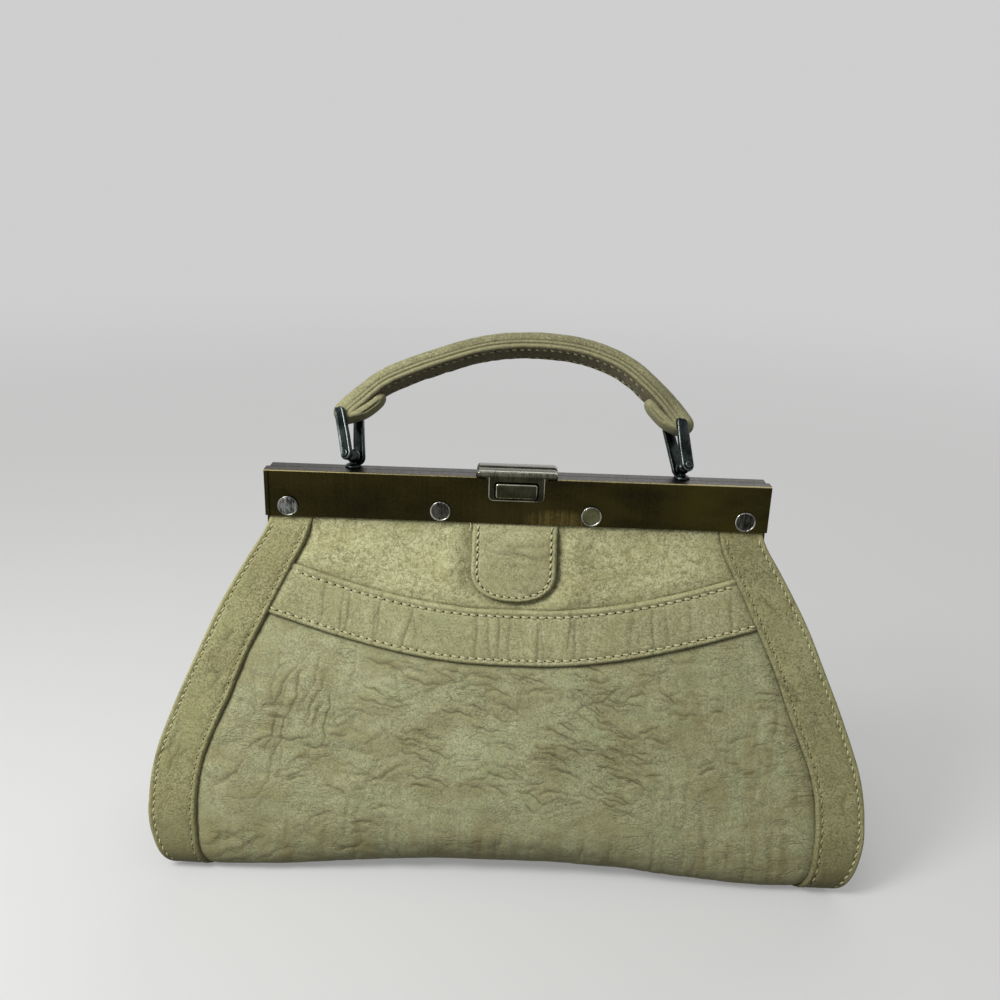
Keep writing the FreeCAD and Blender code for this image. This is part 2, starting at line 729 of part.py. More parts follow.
def latch_spring(face):
    """A bent spring behind the button, whose hook stands behind the strike bar in the back rail."""
    half = d.blade_width / 2
    thick = d.blade_thickness
    foot = TUCK_TOP + d.blade_foot_lift
    arm_top = RAIL_TOP - d.hook_drop
    base = box("SpringFoot", (-half, -RAIL_INSIDE, foot), (half, -face + thick, foot + d.blade_foot))
    blade = box("SpringBlade", (-half, -face, foot), (half, -face + thick, arm_top))
    arm = box("SpringArm", (-half, -face, arm_top - thick), (half, d.hook_reach, arm_top))
    hook = box("SpringHook", (-half, d.hook_reach - thick, arm_top - thick),
               (half, d.hook_reach, arm_top + d.hook_rise))
    keep(joined("LatchSpring", [base, blade, arm, hook]), "latch_spring")
    strike_half = d.strike_width / 2
    strike = box("Strike", (-strike_half, d.strike_setback, RAIL_CEILING - d.strike_drop),
                 (strike_half, d.strike_setback + d.strike_depth, RAIL_CEILING))
    keep(strike, "latch_strike")


# Handle

POST_DEPTH = HALF_GAP + d.rail_depth / 2
BALL_HEIGHT = RAIL_TOP + d.ball_lift
LEAN = FreeCAD.Rotation(FreeCAD.Vector(1, 0, 0), -d.handle_lean.value)
AXIS_POINT = FreeCAD.Vector(0, POST_DEPTH.value, BALL_HEIGHT.value)


def leaning(x, twist, inner):
    """A placement in the leaning handle: across, turned about the link, then an inner shift."""
    turn = FreeCAD.Rotation(FreeCAD.Vector(0, 0, 1), twist)
    outer = FreeCAD.Placement(AXIS_POINT + FreeCAD.Vector(number(x), 0, 0), LEAN * turn)
    shift = FreeCAD.Vector(*[number(v) for v in inner])
    return outer.multiply(FreeCAD.Placement(shift, FreeCAD.Rotation()))


def handle_posts():
    for end, word in ((-1, "left"), (1, "right")):
        x = d.post_half * end
        shank = rod(f"PostShank{word}", d.neck_radius, d.rail_wall + d.ball_lift, (0, 0, 1))
        foot = rod(f"PostFoot{word}", d.post_base_radius, d.post_base, (0, 0, 1))
        ball = doc.addObject("Part::Sphere", f"PostBall{word}")
        bind(ball, Radius=d.ball_radius)
        move(shank, x, POST_DEPTH, RAIL_CEILING)
        move(foot, x, POST_DEPTH, RAIL_TOP)
        move(ball, x, POST_DEPTH, BALL_HEIGHT)
        keep(joined(f"Post{word}", [shank, foot, ball]), f"handle_post_{word}")


def link_body(word, placement):
    """A stirrup: two legs that hug the ball, and a bar across their tops."""
    near = d.ball_radius + d.ball_clearance
    wide = near + d.leg_spread
    thick = d.leg_thickness
    foot = d.leg_foot_radius
    under, crown = d.link_length - d.bar_thickness / 2, d.link_length + d.bar_thickness / 2
    right = [
        (near, -foot),
        (near + thick, -foot),
        (near + thick, foot),
        (wide + thick, under),
        (wide + thick, crown),
    ]
    inner = [(wide, under), (near, foot)]
    path = right + [(-x, z) for x, z in reversed(right)] + [(-x, z) for x, z in reversed(inner)] + inner
    arch = padded(f"LinkArch{word}", "YZ_Plane", path, foot * 2)
    half_top = d.leg_top_width / 2
    face_path = [
        (half_top, crown),
        (-half_top, crown),
        (-foot, ZERO),
        (ZERO, -foot, foot, True),
        (foot, ZERO, foot, True),
    ]
    face = padded(f"LinkFace{word}", "XZ_Plane", face_path, (wide + thick) * 2 + d.overrun)
    bore = rod(f"LinkBore{word}", d.stud_radius, d.overrun * 2, (0, 1, 0))
    move(bore, ZERO, -d.overrun)
    link = cut(f"Link{word}", common(f"LinkBlank{word}", arch, face), bore)
    link.Placement = placement
    return keep(link, f"link_{word}")


def link_studs(placements):
    studs = []
    near = d.ball_radius + d.ball_clearance
    for number_of_link, placement in enumerate(placements):
        for end in (-1, 1):
            name = f"{number_of_link}{'AB'[end > 0]}"
            shank = rod("StudShank" + name, d.stud_radius, d.leg_thickness, (0, end, 0))
            head = rod("StudHead" + name, d.stud_head_radius, d.stud_head, (0, end, 0))
            move(shank, ZERO, near * end)
            move(head, ZERO, (near + d.leg_thickness) * end)
            stud = joined("Stud" + name, [shank, head])
            stud.Placement = placement
            studs.append(stud)
    keep(together("Studs", studs), "link_studs")


def handle():
    outer = d.handle_radius
    flat = outer - d.handle_height
    arch_centre = d.handle_rise - outer
    to_bar = d.link_length - arch_centre
    bar_radius = (d.post_half * d.post_half + to_bar * to_bar).root()
    bar_angle = math.degrees(math.atan2(d.post_half.value, to_bar.value))
    end_angle = bar_angle - math.degrees(d.handle_end_gap.value / bar_radius.value)
    tongue_angle = end_angle - math.degrees(d.tongue_length.value / bar_radius.value)
    half = d.handle_width / 2
    shoulder = flat + d.handle_side
    crown = arc_radius(half, outer - shoulder)
    section = [
        (half, flat),
        (half, shoulder),
        (ZERO, outer, crown, True),
        (-half, shoulder, crown, True),
        (-half, flat),
    ]
    core_centre = flat + d.core_lift
    seat = leaning(ZERO, 0, (ZERO, ZERO, arch_centre))
    hollow = (ZERO, core_centre, d.core_radius)
    cover = turned("Cover", "YZ_Plane", section, "Y_Axis", end_angle * 2, hollow)
    cover.Placement = seat
    keep(cover, "handle_cover")
    core = doc.addObject("Part::Torus", "Core")
    bind(core, Radius1=core_centre, Radius2=d.core_radius)
    core.Angle3 = end_angle * 2
    spin = FreeCAD.Rotation(FreeCAD.Vector(1, 0, 0), QUARTER_TURN)
    start = FreeCAD.Rotation(FreeCAD.Vector(0, 1, 0), end_angle - QUARTER_TURN)
    core.Placement = seat.multiply(FreeCAD.Placement(FreeCAD.Vector(), start * spin))
    keep(core, "handle_core")
    strip_half = d.underlay_width / 2
    strip = [(strip_half, flat - d.underlay_leather), (strip_half, flat), (-strip_half, flat),
             (-strip_half, flat - d.underlay_leather)]
    underlay = turned("Underlay", "YZ_Plane", strip, "Y_Axis", end_angle * 2)
    underlay.Placement = seat
    keep(underlay, "handle_underlay")
    placements = []
    for end, word in ((-1, "left"), (1, "right")):
        placement = leaning(d.post_half * end, d.link_twist.value * end, (ZERO, ZERO, ZERO))
        placements.append(placement)
        link = link_body(word, placement)
        angles = (tongue_angle, end_angle, bar_angle)
        handle_loop(word, end, placement, link, seat, angles, (flat, outer))
    link_studs(placements)


def handle_loop(word, end, placement, link, seat, angles, radii):
    """The handle's end: a leather loop round the link's bar, turned back under the handle."""
    tongue_angle, end_angle, bar_angle = angles
    flat, outer = radii
    under = flat - d.underlay_leather
    half = d.tongue_width / 2
    pieces = []
    spans = (
        ("Neck", under - d.tongue_leather, outer, end_angle, bar_angle),
        ("Tongue", under - d.tongue_leather, under, tongue_angle, bar_angle),
    )
    for name, low, high, first, last in spans:
        section = [(half, low), (half, high), (-half, high), (-half, low)]
        piece = turned(f"{name}{word}", "YZ_Plane", section, "Y_Axis", last - first)
        middle = FreeCAD.Rotation(FreeCAD.Vector(0, 1, 0), (first + last) / 2 * end)
        piece.Placement = seat.multiply(FreeCAD.Placement(FreeCAD.Vector(), middle))
        pieces.append(piece)
    lying = FreeCAD.Rotation(FreeCAD.Vector(1, 0, 0), -QUARTER_TURN)
    rounds = []
    for name, radius, length in (("Ring", d.loop_radius, d.loop_width), ("Bore", d.loop_bore, d.overrun)):
        piece = rod(f"{name}{word}", radius, length, (0, 0, 1))
        shift = FreeCAD.Vector(0, -length.value / 2, d.link_length.value)
        piece.Placement = placement.multiply(FreeCAD.Placement(shift, lying))
        rounds.append(piece)
    blank = joined(f"LoopBlank{word}", pieces + rounds[:1])
    keep(cut(f"Loop{word}", blank, rounds[1], link), f"handle_loop_{word}")


def check_and_write():
    doc.recompute()
    for obj in doc.Objects:
        if "Invalid" in obj.State or "Error" in obj.State:
            raise RuntimeError(f"{obj.Label} failed: {obj.State}")
    for obj in SUBPARTS:
        if obj.Shape.isNull() or not obj.Shape.isValid() or obj.Shape.Volume <= 0:
            raise RuntimeError(f"{obj.Label} has no valid solid")
    os.makedirs("parts", exist_ok=True)
    for obj in SUBPARTS:
        obj.Shape.exportStep(f"parts/{obj.Label}.step")
        print(obj.Label, len(obj.Shape.Solids), round(obj.Shape.Volume, 1))


front_leather()
clasp_tab()
back_leather()
base_and_gussets()
lining_and_board()
front_frame()
back_frame()
hinge_pins()
for side, word in ((-1, "front"), (1, "back")):
    clamp_strip(side, word)
    rivets(side, word)
rivet_leather()
clasp()
handle_posts()
handle()
check_and_write()
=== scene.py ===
import math
import random

import bmesh
import bpy
import numpy as np
from mathutils import Matrix, Vector, noise


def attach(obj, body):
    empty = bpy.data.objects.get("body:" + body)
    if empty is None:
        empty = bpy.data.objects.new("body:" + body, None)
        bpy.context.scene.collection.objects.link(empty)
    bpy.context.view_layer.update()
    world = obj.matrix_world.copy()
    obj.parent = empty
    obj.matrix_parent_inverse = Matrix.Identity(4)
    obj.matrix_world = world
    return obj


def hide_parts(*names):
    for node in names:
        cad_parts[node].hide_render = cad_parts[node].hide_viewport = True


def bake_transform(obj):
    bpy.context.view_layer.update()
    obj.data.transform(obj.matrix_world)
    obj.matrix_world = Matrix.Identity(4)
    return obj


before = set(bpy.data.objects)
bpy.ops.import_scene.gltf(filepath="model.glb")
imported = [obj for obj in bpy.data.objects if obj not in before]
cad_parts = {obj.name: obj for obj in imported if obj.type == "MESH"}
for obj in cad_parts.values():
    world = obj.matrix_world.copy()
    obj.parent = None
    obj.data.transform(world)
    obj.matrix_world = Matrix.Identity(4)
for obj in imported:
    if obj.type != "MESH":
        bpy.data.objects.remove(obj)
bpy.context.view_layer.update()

# All shapes below are worked out in millimetres in the part's own frame, and scaled when a mesh is made.
MM = 0.001
FRONT, BACK = -1, 1
ENDS = ((-1, "left"), (1, "right"))
RAIL_WIDTH, RAIL_BOTTOM, RAIL_TOP = 204.0, 145.5, 165.0


# Materials

class Wire:
    """A shader socket that can be used in Python sums."""

    def __init__(self, paint, socket):
        self.paint = paint
        self.socket = socket

    def sum(self, operation, first, second=0.0, clamp=False):
        """The result of one sum."""
        settings = {"operation": operation, "use_clamp": clamp}
        return self.paint.node("ShaderNodeMath", settings, {0: first, 1: second})

    def __add__(self, other):
        return self.sum("ADD", self, other)

    __radd__ = __add__

    def __mul__(self, other):
        return self.sum("MULTIPLY", self, other)

    __rmul__ = __mul__

    def __sub__(self, other):
        return self.sum("SUBTRACT", self, other)

    def __rsub__(self, other):
        return self.sum("SUBTRACT", other, self)

    def __truediv__(self, other):
        return self.sum("DIVIDE", self, other)

    def __abs__(self):
        return self.sum("ABSOLUTE", self)

    def clamped(self):
        """The value, kept between 0 and 1."""
        return self.sum("ADD", self, clamp=True)


class Nodes:
    """A node tree, and the ways to add to it."""

    def __init__(self, tree):
        self.tree = tree

    def node(self, kind, settings=None, inputs=None, output=0):
        """A new node with its settings and inputs, as the wire from one of its outputs."""
        made = self.tree.nodes.new(kind)
        for name, value in (settings or {}).items():
            setattr(made, name, value)
        for key, value in (inputs or {}).items():
            if isinstance(value, Wire):
                self.tree.links.new(value.socket, made.inputs[key])
            else:
                made.inputs[key].default_value = value
        return Wire(self, made.outputs[output])

    def mix(self, share, first, second):
        """A blend of two colours."""
        colours = {6: first, 7: second, 0: share}
        return self.node("ShaderNodeMix", {"data_type": "RGBA"}, colours, output=2)

    def seen(self):
        """1 for what the camera sees, also in metal."""
        rays = ("Is Camera Ray", "Is Glossy Ray", "Is Transmission Ray")
        camera, glossy, through = (self.node("ShaderNodeLightPath", output=ray) for ray in rays)
        return (camera + glossy + through).clamped()


class Paint(Nodes):
    """A material made of nodes, with one Principled shader."""

    def __init__(self, name, **constants):
        self.material = bpy.data.materials.new(name)
        self.material.use_nodes = True
        super().__init__(self.material.node_tree)
        self.shader = self.tree.nodes["Principled BSDF"]
        for socket, value in constants.items():
            self.shader.inputs[socket.replace("_", " ")].default_value = value
        place = self.node("ShaderNodeTexCoord", output="Object")
        self.place = self.node("ShaderNodeVectorMath", {"operation": "SCALE"}, {0: place, "Scale": 1 / MM})

    def noise(self, across, deep=None, up=None, detail=3.0, rough=0.55, shift=0.0, bend=0.0):
        """Noise with a grain length along each axis."""
        factor = (1 / across, 1 / (deep or across), 1 / (up or across))
        spot = self.node("ShaderNodeVectorMath", {"operation": "MULTIPLY_ADD"},
                         {0: self.place, 1: factor, 2: (shift, shift, shift)})
        values = {"Vector": spot, "Scale": 1.0, "Detail": detail, "Roughness": rough, "Distortion": bend}
        return self.node("ShaderNodeTexNoise", {"noise_dimensions": "3D"}, values)

    def lines(self, width, *arguments, **options):
        """Thin wandering lines, where noise passes through its middle."""
        return 1 - self.step(abs(self.noise(*arguments, **options) - 0.5), 0.0, width)

    def step(self, value, low, high):
        """0 below low, 1 above high, smooth between."""
        return self.node("ShaderNodeMapRange", {"interpolation_type": "SMOOTHSTEP"},
                         {"Value": value, "From Min": low, "From Max": high})

    def axis(self, name):
        """The place along one axis, in millimetres."""
        return self.node("ShaderNodeSeparateXYZ", inputs={0: self.place}, output=name)

    def attribute(self, name):
        """A mark that the points of a mesh carry."""
        return self.node("ShaderNodeAttribute", {"attribute_name": name}, output="Fac")

    def bump(self, height, strength, distance):
        """A fine relief that only the light sees."""
        return self.node("ShaderNodeBump", inputs={"Height": height, "Strength": strength, "Distance": distance})

    def feed(self, **wires):
        """Tie wires to the shader, and give the finished material."""
        for socket, wire in wires.items():
            self.tree.links.new(wire.socket, self.shader.inputs[socket.replace("_", " ")])
        return self.material


def srgb(red, green, blue):
    """A colour given as 0 to 255 display values."""
    def linear(value):
        value = value / 255
        return value / 12.92 if value <= 0.04045 else ((value + 0.055) / 1.055) ** 2.4
    return linear(red), linear(green), linear(blue), 1.0


def tinted(colour, red, green, blue):
    """A colour with each of its parts turned down to a share."""
    return colour[0] * red, colour[1] * green, colour[2] * blue, 1.0


# Grain lengths of the nubuck, the same all round or across, deep and up, and how high the painted shade at its foot
# reaches.
BLOTCH, CLOUD, NAP, CREASE_PATCH = 30.0, 2.6, 0.8, 19.0
VEIN, WARM_PATCH, GREEN_PATCH = (4.4, 4.4, 3.6), (17.0, 14.0, 12.0), (13.0, 13.0, 10.0)
STREAK, LEVEL_CREASE, SLANT_CREASE = (9.0, 40.0, 70.0), (14.0, 9.0, 4.0), (7.0, 6.0, 5.0)
LOW_SHADE_HEIGHT = 42.0


def leather(name, light, base, dark, warm, mottle=0.3, creased=0.3, warmth=0.3, low_shade=0.5):
    """Nubuck: soft blotches, warm and green patches, fine nap and veins, with painted shade in creases, folds and
    seams and towards the foot.
    """
    paint = Paint(name, Sheen_Weight=0.06, Sheen_Roughness=0.5, Specular_IOR_Level=0.25)
    blotch = paint.noise(BLOTCH, detail=3.0, rough=0.5)
    cloud = paint.noise(CLOUD, detail=3.0, rough=0.6, shift=7.3)
    nap = paint.noise(NAP, detail=3.0, rough=0.75, shift=3.1)
    vein = paint.lines(0.05, *VEIN, detail=3.0, shift=27.0, bend=0.9)
    warm_patch = paint.step(paint.noise(*WARM_PATCH, detail=4.0, shift=15.0), 0.44, 0.66)
    green_patch = paint.step(paint.noise(*GREEN_PATCH, detail=3.0, shift=33.0), 0.48, 0.68)
    streak = paint.lines(0.11, *STREAK, detail=2.0, shift=1.7, bend=0.3) * paint.attribute("streak")
    # Fine crease lines drawn by the shader: they press into the bump and darken the colour as painted shade.
    patch = paint.step(paint.noise(CREASE_PATCH, shift=5.0), 0.44, 0.58)
    level = paint.lines(0.03, *LEVEL_CREASE, detail=2.0, shift=11.0, bend=0.5)
    slant = paint.lines(0.025, *SLANT_CREASE, detail=2.0, shift=21.0, bend=0.8)
    fine = (level * 0.8 + slant * 0.5) * patch
    crease_shade = paint.attribute("crease_shade") + fine * creased
    warmed = warm_patch * warmth + streak * 0.6 + paint.attribute("stain") * 0.35
    # Painted shade: the colour darkens from this height down to the foot.
    low = paint.step(paint.axis("Z"), LOW_SHADE_HEIGHT, 0.0)
    tone = (blotch - 0.5) * 0.45 + (cloud - 0.5) * mottle + (nap - 0.5) * 1.8 + (0.3 - vein) * (0.25 * mottle)
    colour = paint.mix(paint.step(tone, -0.44, 0.12), dark, base)
    colour = paint.mix(paint.step(tone, -0.12, 0.44), colour, light)
    colour = paint.mix((green_patch * 0.35).clamped(), colour, tinted(base, 0.9, 1.0, 0.86))
    colour = paint.mix(warmed.clamped(), colour, warm)
    colour = paint.mix((low * low_shade).clamped(), colour, dark)
    # Painted shade in creases, folds and seams: the colour goes towards a dark brown.
    colour = paint.mix((crease_shade * 0.85).clamped(), colour, tinted(warm, 0.24, 0.24, 0.24))
    # Lighter where the mesh is marked: a painted highlight on the handle's welts, and lighter leather near some
    # edges.
    colour = paint.mix((paint.attribute("rub_and_highlight") * 0.5).clamped(), colour, light)
    rough = 0.78 + (nap - 0.5) * 0.2 + (blotch - 0.5) * 0.1
    height = nap * 0.8 + cloud * 0.3 - vein * (0.3 * mottle) - fine * (2.2 * creased)
    return paint.feed(Base_Color=colour, Roughness=rough, Normal=paint.bump(height, 0.5, 0.0006))


def thread(name, colour):
    """Twisted sewing thread, with painted shade in the grooves of its twist."""
    paint = Paint(name, Specular_IOR_Level=0.3)
    twist = paint.noise(0.5, detail=2.0)
    # Painted shade: darker in the grooves of the twist.
    tone = paint.mix(paint.step(twist, 0.35, 0.6), tinted(colour, 0.6, 0.6, 0.6), colour)
    return paint.feed(Base_Color=tone, Roughness=0.7 + twist * 0.2, Normal=paint.bump(twist, 0.4, 0.0003))


def needle_hole_shade():
    """Painted shade of a needle hole: a dark material on the small cone that stands for the hole."""
    paint = Paint("needle_hole_shade", Specular_IOR_Level=0.1)
    speck = paint.noise(0.3)
    tone = paint.mix(speck, srgb(34, 30, 16), srgb(60, 54, 30))
    return paint.feed(Base_Color=tone, Roughness=0.8 + speck * 0.2)


# A worn patch on the front of the rail, and the dark line at the rail's left end.
WORN_PLACE, WORN_HALF = (17.0, 147.5), (13.0, 4.5)
RAIL_END_LINE = -100.2


def antique_brass():
    """Dark patina, brushed upright, greener to the right as a painted sheen and darker on top as painted shade,
    with a painted highlight along the front edge, worn to yellow brass along it in places and in a patch.
    """
    paint = Paint("antique_brass", Metallic=1.0)
    across, deep, up = paint.axis("X"), paint.axis("Y"), paint.axis("Z")
    brush = paint.noise(0.8, 8.0, 70.0, detail=4.0, rough=0.6)
    cloud = paint.noise(34.0, 20.0, 18.0, detail=3.0, rough=0.5, shift=2.2)
    fleck = paint.noise(1.1, detail=3.0, shift=9.1)
    tone = (cloud - 0.5) * 1.2 + (brush - 0.5) * 0.4 + (fleck - 0.5) * 0.6
    # Painted sheen: a greener, lighter tone towards the right.
    olive_sheen = paint.step(across, -10.0, 70.0) * paint.step(cloud, 0.35, 0.7)
    side, height = (across - WORN_PLACE[0]) / WORN_HALF[0], (up - WORN_PLACE[1]) / WORN_HALF[1]
    patch = paint.step(side * side + height * height, 1.5, 0.1) * paint.step(fleck * 0.5 + brush, 0.5, 0.95)
    # A painted highlight along the front edge of the top, and wear where noise breaks it up.
    edge = paint.step(up, RAIL_TOP - 0.45, RAIL_TOP - 0.25) * paint.step(0.0 - deep, 4.6, 5.0)
    worn = edge * paint.step(brush * 0.6 + fleck * 0.3 + across / 260.0, 0.3, 0.8)
    # Painted shade: the top face of the rail darker and rougher.
    top = paint.step(up, RAIL_TOP - 0.4, RAIL_TOP - 0.1) * paint.step(deep, -4.7, -4.4)
    end_line = 1 - paint.step(abs(across - RAIL_END_LINE), 0.15, 0.4)
    colour = paint.mix(paint.step(tone, -0.4, 0.45), srgb(34, 32, 18), srgb(58, 52, 25))
    colour = paint.mix((olive_sheen * 0.55).clamped(), colour, srgb(66, 63, 26))
    colour = paint.mix((patch * 0.5).clamped(), colour, srgb(124, 106, 62))
    colour = paint.mix((end_line * 0.8).clamped(), colour, srgb(12, 11, 8))
    colour = paint.mix((top * 0.9).clamped(), colour, srgb(30, 26, 21))
    colour = paint.mix((edge * 0.35 + worn * 0.5).clamped(), colour, srgb(214, 200, 150))
    rough = 0.26 + (fleck - 0.5) * 0.2 + (brush - 0.5) * 0.15 + top * 0.2
    bump = paint.bump(brush * 0.5 + fleck * 0.5, 0.12, 0.0003)
    return paint.feed(Base_Color=colour, Roughness=rough, Normal=bump)


def plated(name, dark, light, bright, rough, scratch=0.5):
    """Plated metal, with small scratches and a cloudy tone, lighter along its edges: worn, and a painted highlight.
    """
    paint = Paint(name, Metallic=1.0)
    cloud = paint.noise(6.0, detail=3.0, rough=0.55)
    fine = paint.noise(0.7, 0.7, 4.0, detail=3.0, shift=4.4)
    # Lighter along marked edges, broken up by noise: wear, with a painted highlight.
    rub_and_highlight = paint.attribute("rub_and_highlight") * paint.step(fine + cloud, 0.6, 1.1)
    colour = paint.mix(paint.step(cloud + (fine - 0.5) * scratch, 0.3, 0.75), dark, light)
    colour = paint.mix(rub_and_highlight.clamped(), colour, bright)
    roughness = rough + (cloud - 0.5) * 0.15 + (fine - 0.5) * 0.1
    return paint.feed(Base_Color=colour, Roughness=roughness, Normal=paint.bump(fine, 0.06, 0.0002))


def twill(name, dark, light):
    """A diagonal weave."""
    paint = Paint(name, Sheen_Weight=0.2, Specular_IOR_Level=0.2)
    across, deep, up = paint.axis("X"), paint.axis("Y"), paint.axis("Z")
    slant = (across + up + deep) * 4.2
    rib = paint.node("ShaderNodeMath", {"operation": "SINE"}, {0: slant})
    slub = paint.noise(1.2, 1.2, 6.0)
    cloud = paint.noise(30.0)
    colour = paint.mix(paint.step(rib * 0.5 + slub, 0.0, 1.1), dark, light)
    rough = 0.8 + (cloud - 0.5) * 0.2
    return paint.feed(Base_Color=colour, Roughness=rough, Normal=paint.bump(rib, 0.4, 0.0003))


def fibreboard():
    """Pressed fibres, with short streaks along the board."""
    paint = Paint("fibreboard", Specular_IOR_Level=0.2)
    fibre = paint.noise(0.9, 0.9, 0.9, detail=5.0)
    streak = paint.noise(9.0, 1.2, 1.2, shift=5.0)
    colour = paint.mix(paint.step(fibre + streak * 0.6, 0.55, 1.05), srgb(66, 58, 44), srgb(112, 100, 78))
    return paint.feed(Base_Color=colour, Roughness=0.8 + fibre * 0.15, Normal=paint.bump(fibre, 0.3, 0.0004))


YOKE = leather("leather_yoke", srgb(208, 206, 162), srgb(174, 172, 130), srgb(132, 128, 89), srgb(164, 156, 107),
               mottle=0.9, creased=0.12)
BAND = leather("leather_band", srgb(192, 190, 149), srgb(164, 162, 122), srgb(130, 126, 90), srgb(152, 145, 101),
               mottle=0.5, creased=0.12)
PANEL = leather("leather_panel", srgb(192, 193, 154), srgb(164, 165, 128), srgb(128, 127, 93), srgb(144, 135, 93),
                creased=0.3, warmth=0.4)
# The side bands take more of the painted shade towards the foot.
SIDE = leather("leather_side", srgb(182, 179, 134), srgb(152, 149, 108), srgb(102, 97, 64), srgb(142, 134, 88),
               creased=0.1, low_shade=0.85)
HANDLE = leather("leather_handle", srgb(170, 167, 126), srgb(130, 127, 96), srgb(98, 94, 69), srgb(122, 116, 83),
                 creased=0.06, warmth=0.2)
UNDERLAY = leather("leather_underlay", srgb(128, 121, 94), srgb(102, 96, 73), srgb(78, 71, 52), srgb(96, 88, 62),
                   mottle=0.7, creased=0.1)
THREAD = thread("thread", srgb(206, 202, 162))
DULL_THREAD = thread("dull_thread", srgb(172, 167, 126))
HOLE_SHADE = needle_hole_shade()
BRASS = antique_brass()
NICKEL = plated("worn_nickel", srgb(84, 84, 78), srgb(190, 189, 182), srgb(225, 225, 220), 0.22, 0.9)
RIVET_DARK = plated("rivet_dark", srgb(26, 26, 23), srgb(84, 83, 77), srgb(180, 180, 172), 0.26, 0.9)
RIVET_SILVER = plated("rivet_silver", srgb(48, 50, 48), srgb(150, 151, 148), srgb(210, 210, 206), 0.24, 1.2)
RIVET_OLIVE = plated("rivet_olive", srgb(74, 73, 50), srgb(106, 105, 76), srgb(180, 180, 172), 0.3)
GUNMETAL = plated("gunmetal", srgb(42, 42, 31), srgb(66, 65, 49), srgb(190, 190, 172), 0.28)
LINK_METAL = plated("link_metal", srgb(28, 33, 33), srgb(66, 73, 71), srgb(88, 96, 94), 0.27)
STEEL = plated("spring_steel", srgb(96, 96, 94), srgb(150, 150, 146), srgb(190, 190, 186), 0.32)
LINING = twill("lining_twill", srgb(94, 84, 62), srgb(128, 116, 88))
BOARD = fibreboard()


# Meshes

def finish_piece(obj, body, nodes=()):
    """Tie a finished piece to its body and the nodes it stands for."""
    if body:
        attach(obj, body)
    if nodes:
        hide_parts(*nodes)
    return obj


def mesh_piece(name, points, faces, materials, kinds=None, marks=None):
    """A smooth mesh from points in millimetres. kinds gives each face's material, marks each point's values."""
    mesh = bpy.data.meshes.new(name)
    mesh.from_pydata([tuple(p) for p in np.asarray(points, float) * MM], [], faces)
    for material in materials:
        mesh.materials.append(material)
    mesh.polygons.foreach_set("use_smooth", [True] * len(mesh.polygons))
    if kinds is not None:
        mesh.polygons.foreach_set("material_index", kinds)
    for mark, values in (marks or {}).items():
        layer = mesh.attributes.new(mark, "FLOAT", "POINT")
        layer.data.foreach_set("value", np.asarray(values, np.float32).ravel())
    obj = bpy.data.objects.new(name, mesh)
    bpy.context.scene.collection.objects.link(obj)
    return obj


def weld(obj, distance=0.001):
    """Join points that lie on each other, take out the walls this leaves inside, and turn the faces outwards."""
    work = bmesh.new()
    work.from_mesh(obj.data)
    bmesh.ops.remove_doubles(work, verts=work.verts, dist=distance * MM)
    bmesh.ops.dissolve_degenerate(work, edges=work.edges, dist=distance * MM * 0.1)
    walls = [face for face in work.faces if sum(len(edge.link_faces) > 2 for edge in face.edges) > 1]
    bmesh.ops.delete(work, geom=walls, context="FACES")
    bmesh.ops.recalc_face_normals(work, faces=work.faces)
    work.to_mesh(obj.data)
    work.free()
    return obj


def grid_faces(rows, columns, start=0, wrap=False):
    """Quads of a grid of points, row by row."""
    faces = []
    last = columns if wrap else columns - 1
    for row in range(rows - 1):
        for column in range(last):
            a = start + row * columns + column
            b = start + row * columns + (column + 1) % columns
            faces.append((a, b, b + columns, a + columns))
    return faces


def turns_of(count):
    """Even angles round a circle."""
    return np.linspace(0, 2 * np.pi, count, endpoint=False)


def stacked(loops, close_first=False, close_last=True):
    """Points and faces of loops (N, 3) that follow each other."""
    count = len(loops[0])
    points = np.vstack(loops)
    faces = grid_faces(len(loops), count, 0, wrap=True)
    if close_first:
        faces.append(tuple(reversed(range(count))))
    if close_last:
        faces.append(tuple((len(loops) - 1) * count + k for k in range(count)))
    return points, faces


def joined(points, faces, part):
    """Add a part's points and faces to those of a piece, and say how many faces came with it."""
    start = len(points)
    points.extend(part[0])
    faces.extend(tuple(start + k for k in face) for face in part[1])
    return len(part[1])


def grid_normals(points, towards):
    """Unit normals of a grid of points, on the side of a direction."""
    normals = unit(np.cross(np.gradient(points, axis=1), np.gradient(points, axis=0)))
    flip = np.sum(normals * np.asarray(towards, float), axis=2, keepdims=True) < 0
    return np.where(flip, -normals, normals)


def shell(name, outer, inner, material, marks):
    """A closed sheet between two grids of points, with its rim. The marks lie on its outer face."""
    rows, columns = outer.shape[:2]
    count = rows * columns
    points = np.vstack([outer.reshape(-1, 3), inner.reshape(-1, 3)])
    faces = grid_faces(rows, columns)
    faces += [tuple(reversed(f)) for f in grid_faces(rows, columns, count)]
    rim = list(range(columns))
    rim += [r * columns + columns - 1 for r in range(1, rows)]
    rim += [(rows - 1) * columns + c for c in range(columns - 2, -1, -1)]
    rim += [r * columns for r in range(rows - 2, 0, -1)]
    for here, there in zip(rim, rim[1:] + rim[:1]):
        faces.append((there, here, here + count, there + count))
    doubled = {mark: np.concatenate([v.ravel(), v.ravel() * 0]) for mark, v in marks.items()}
    return weld(mesh_piece(name, points, faces, [material], marks=doubled))


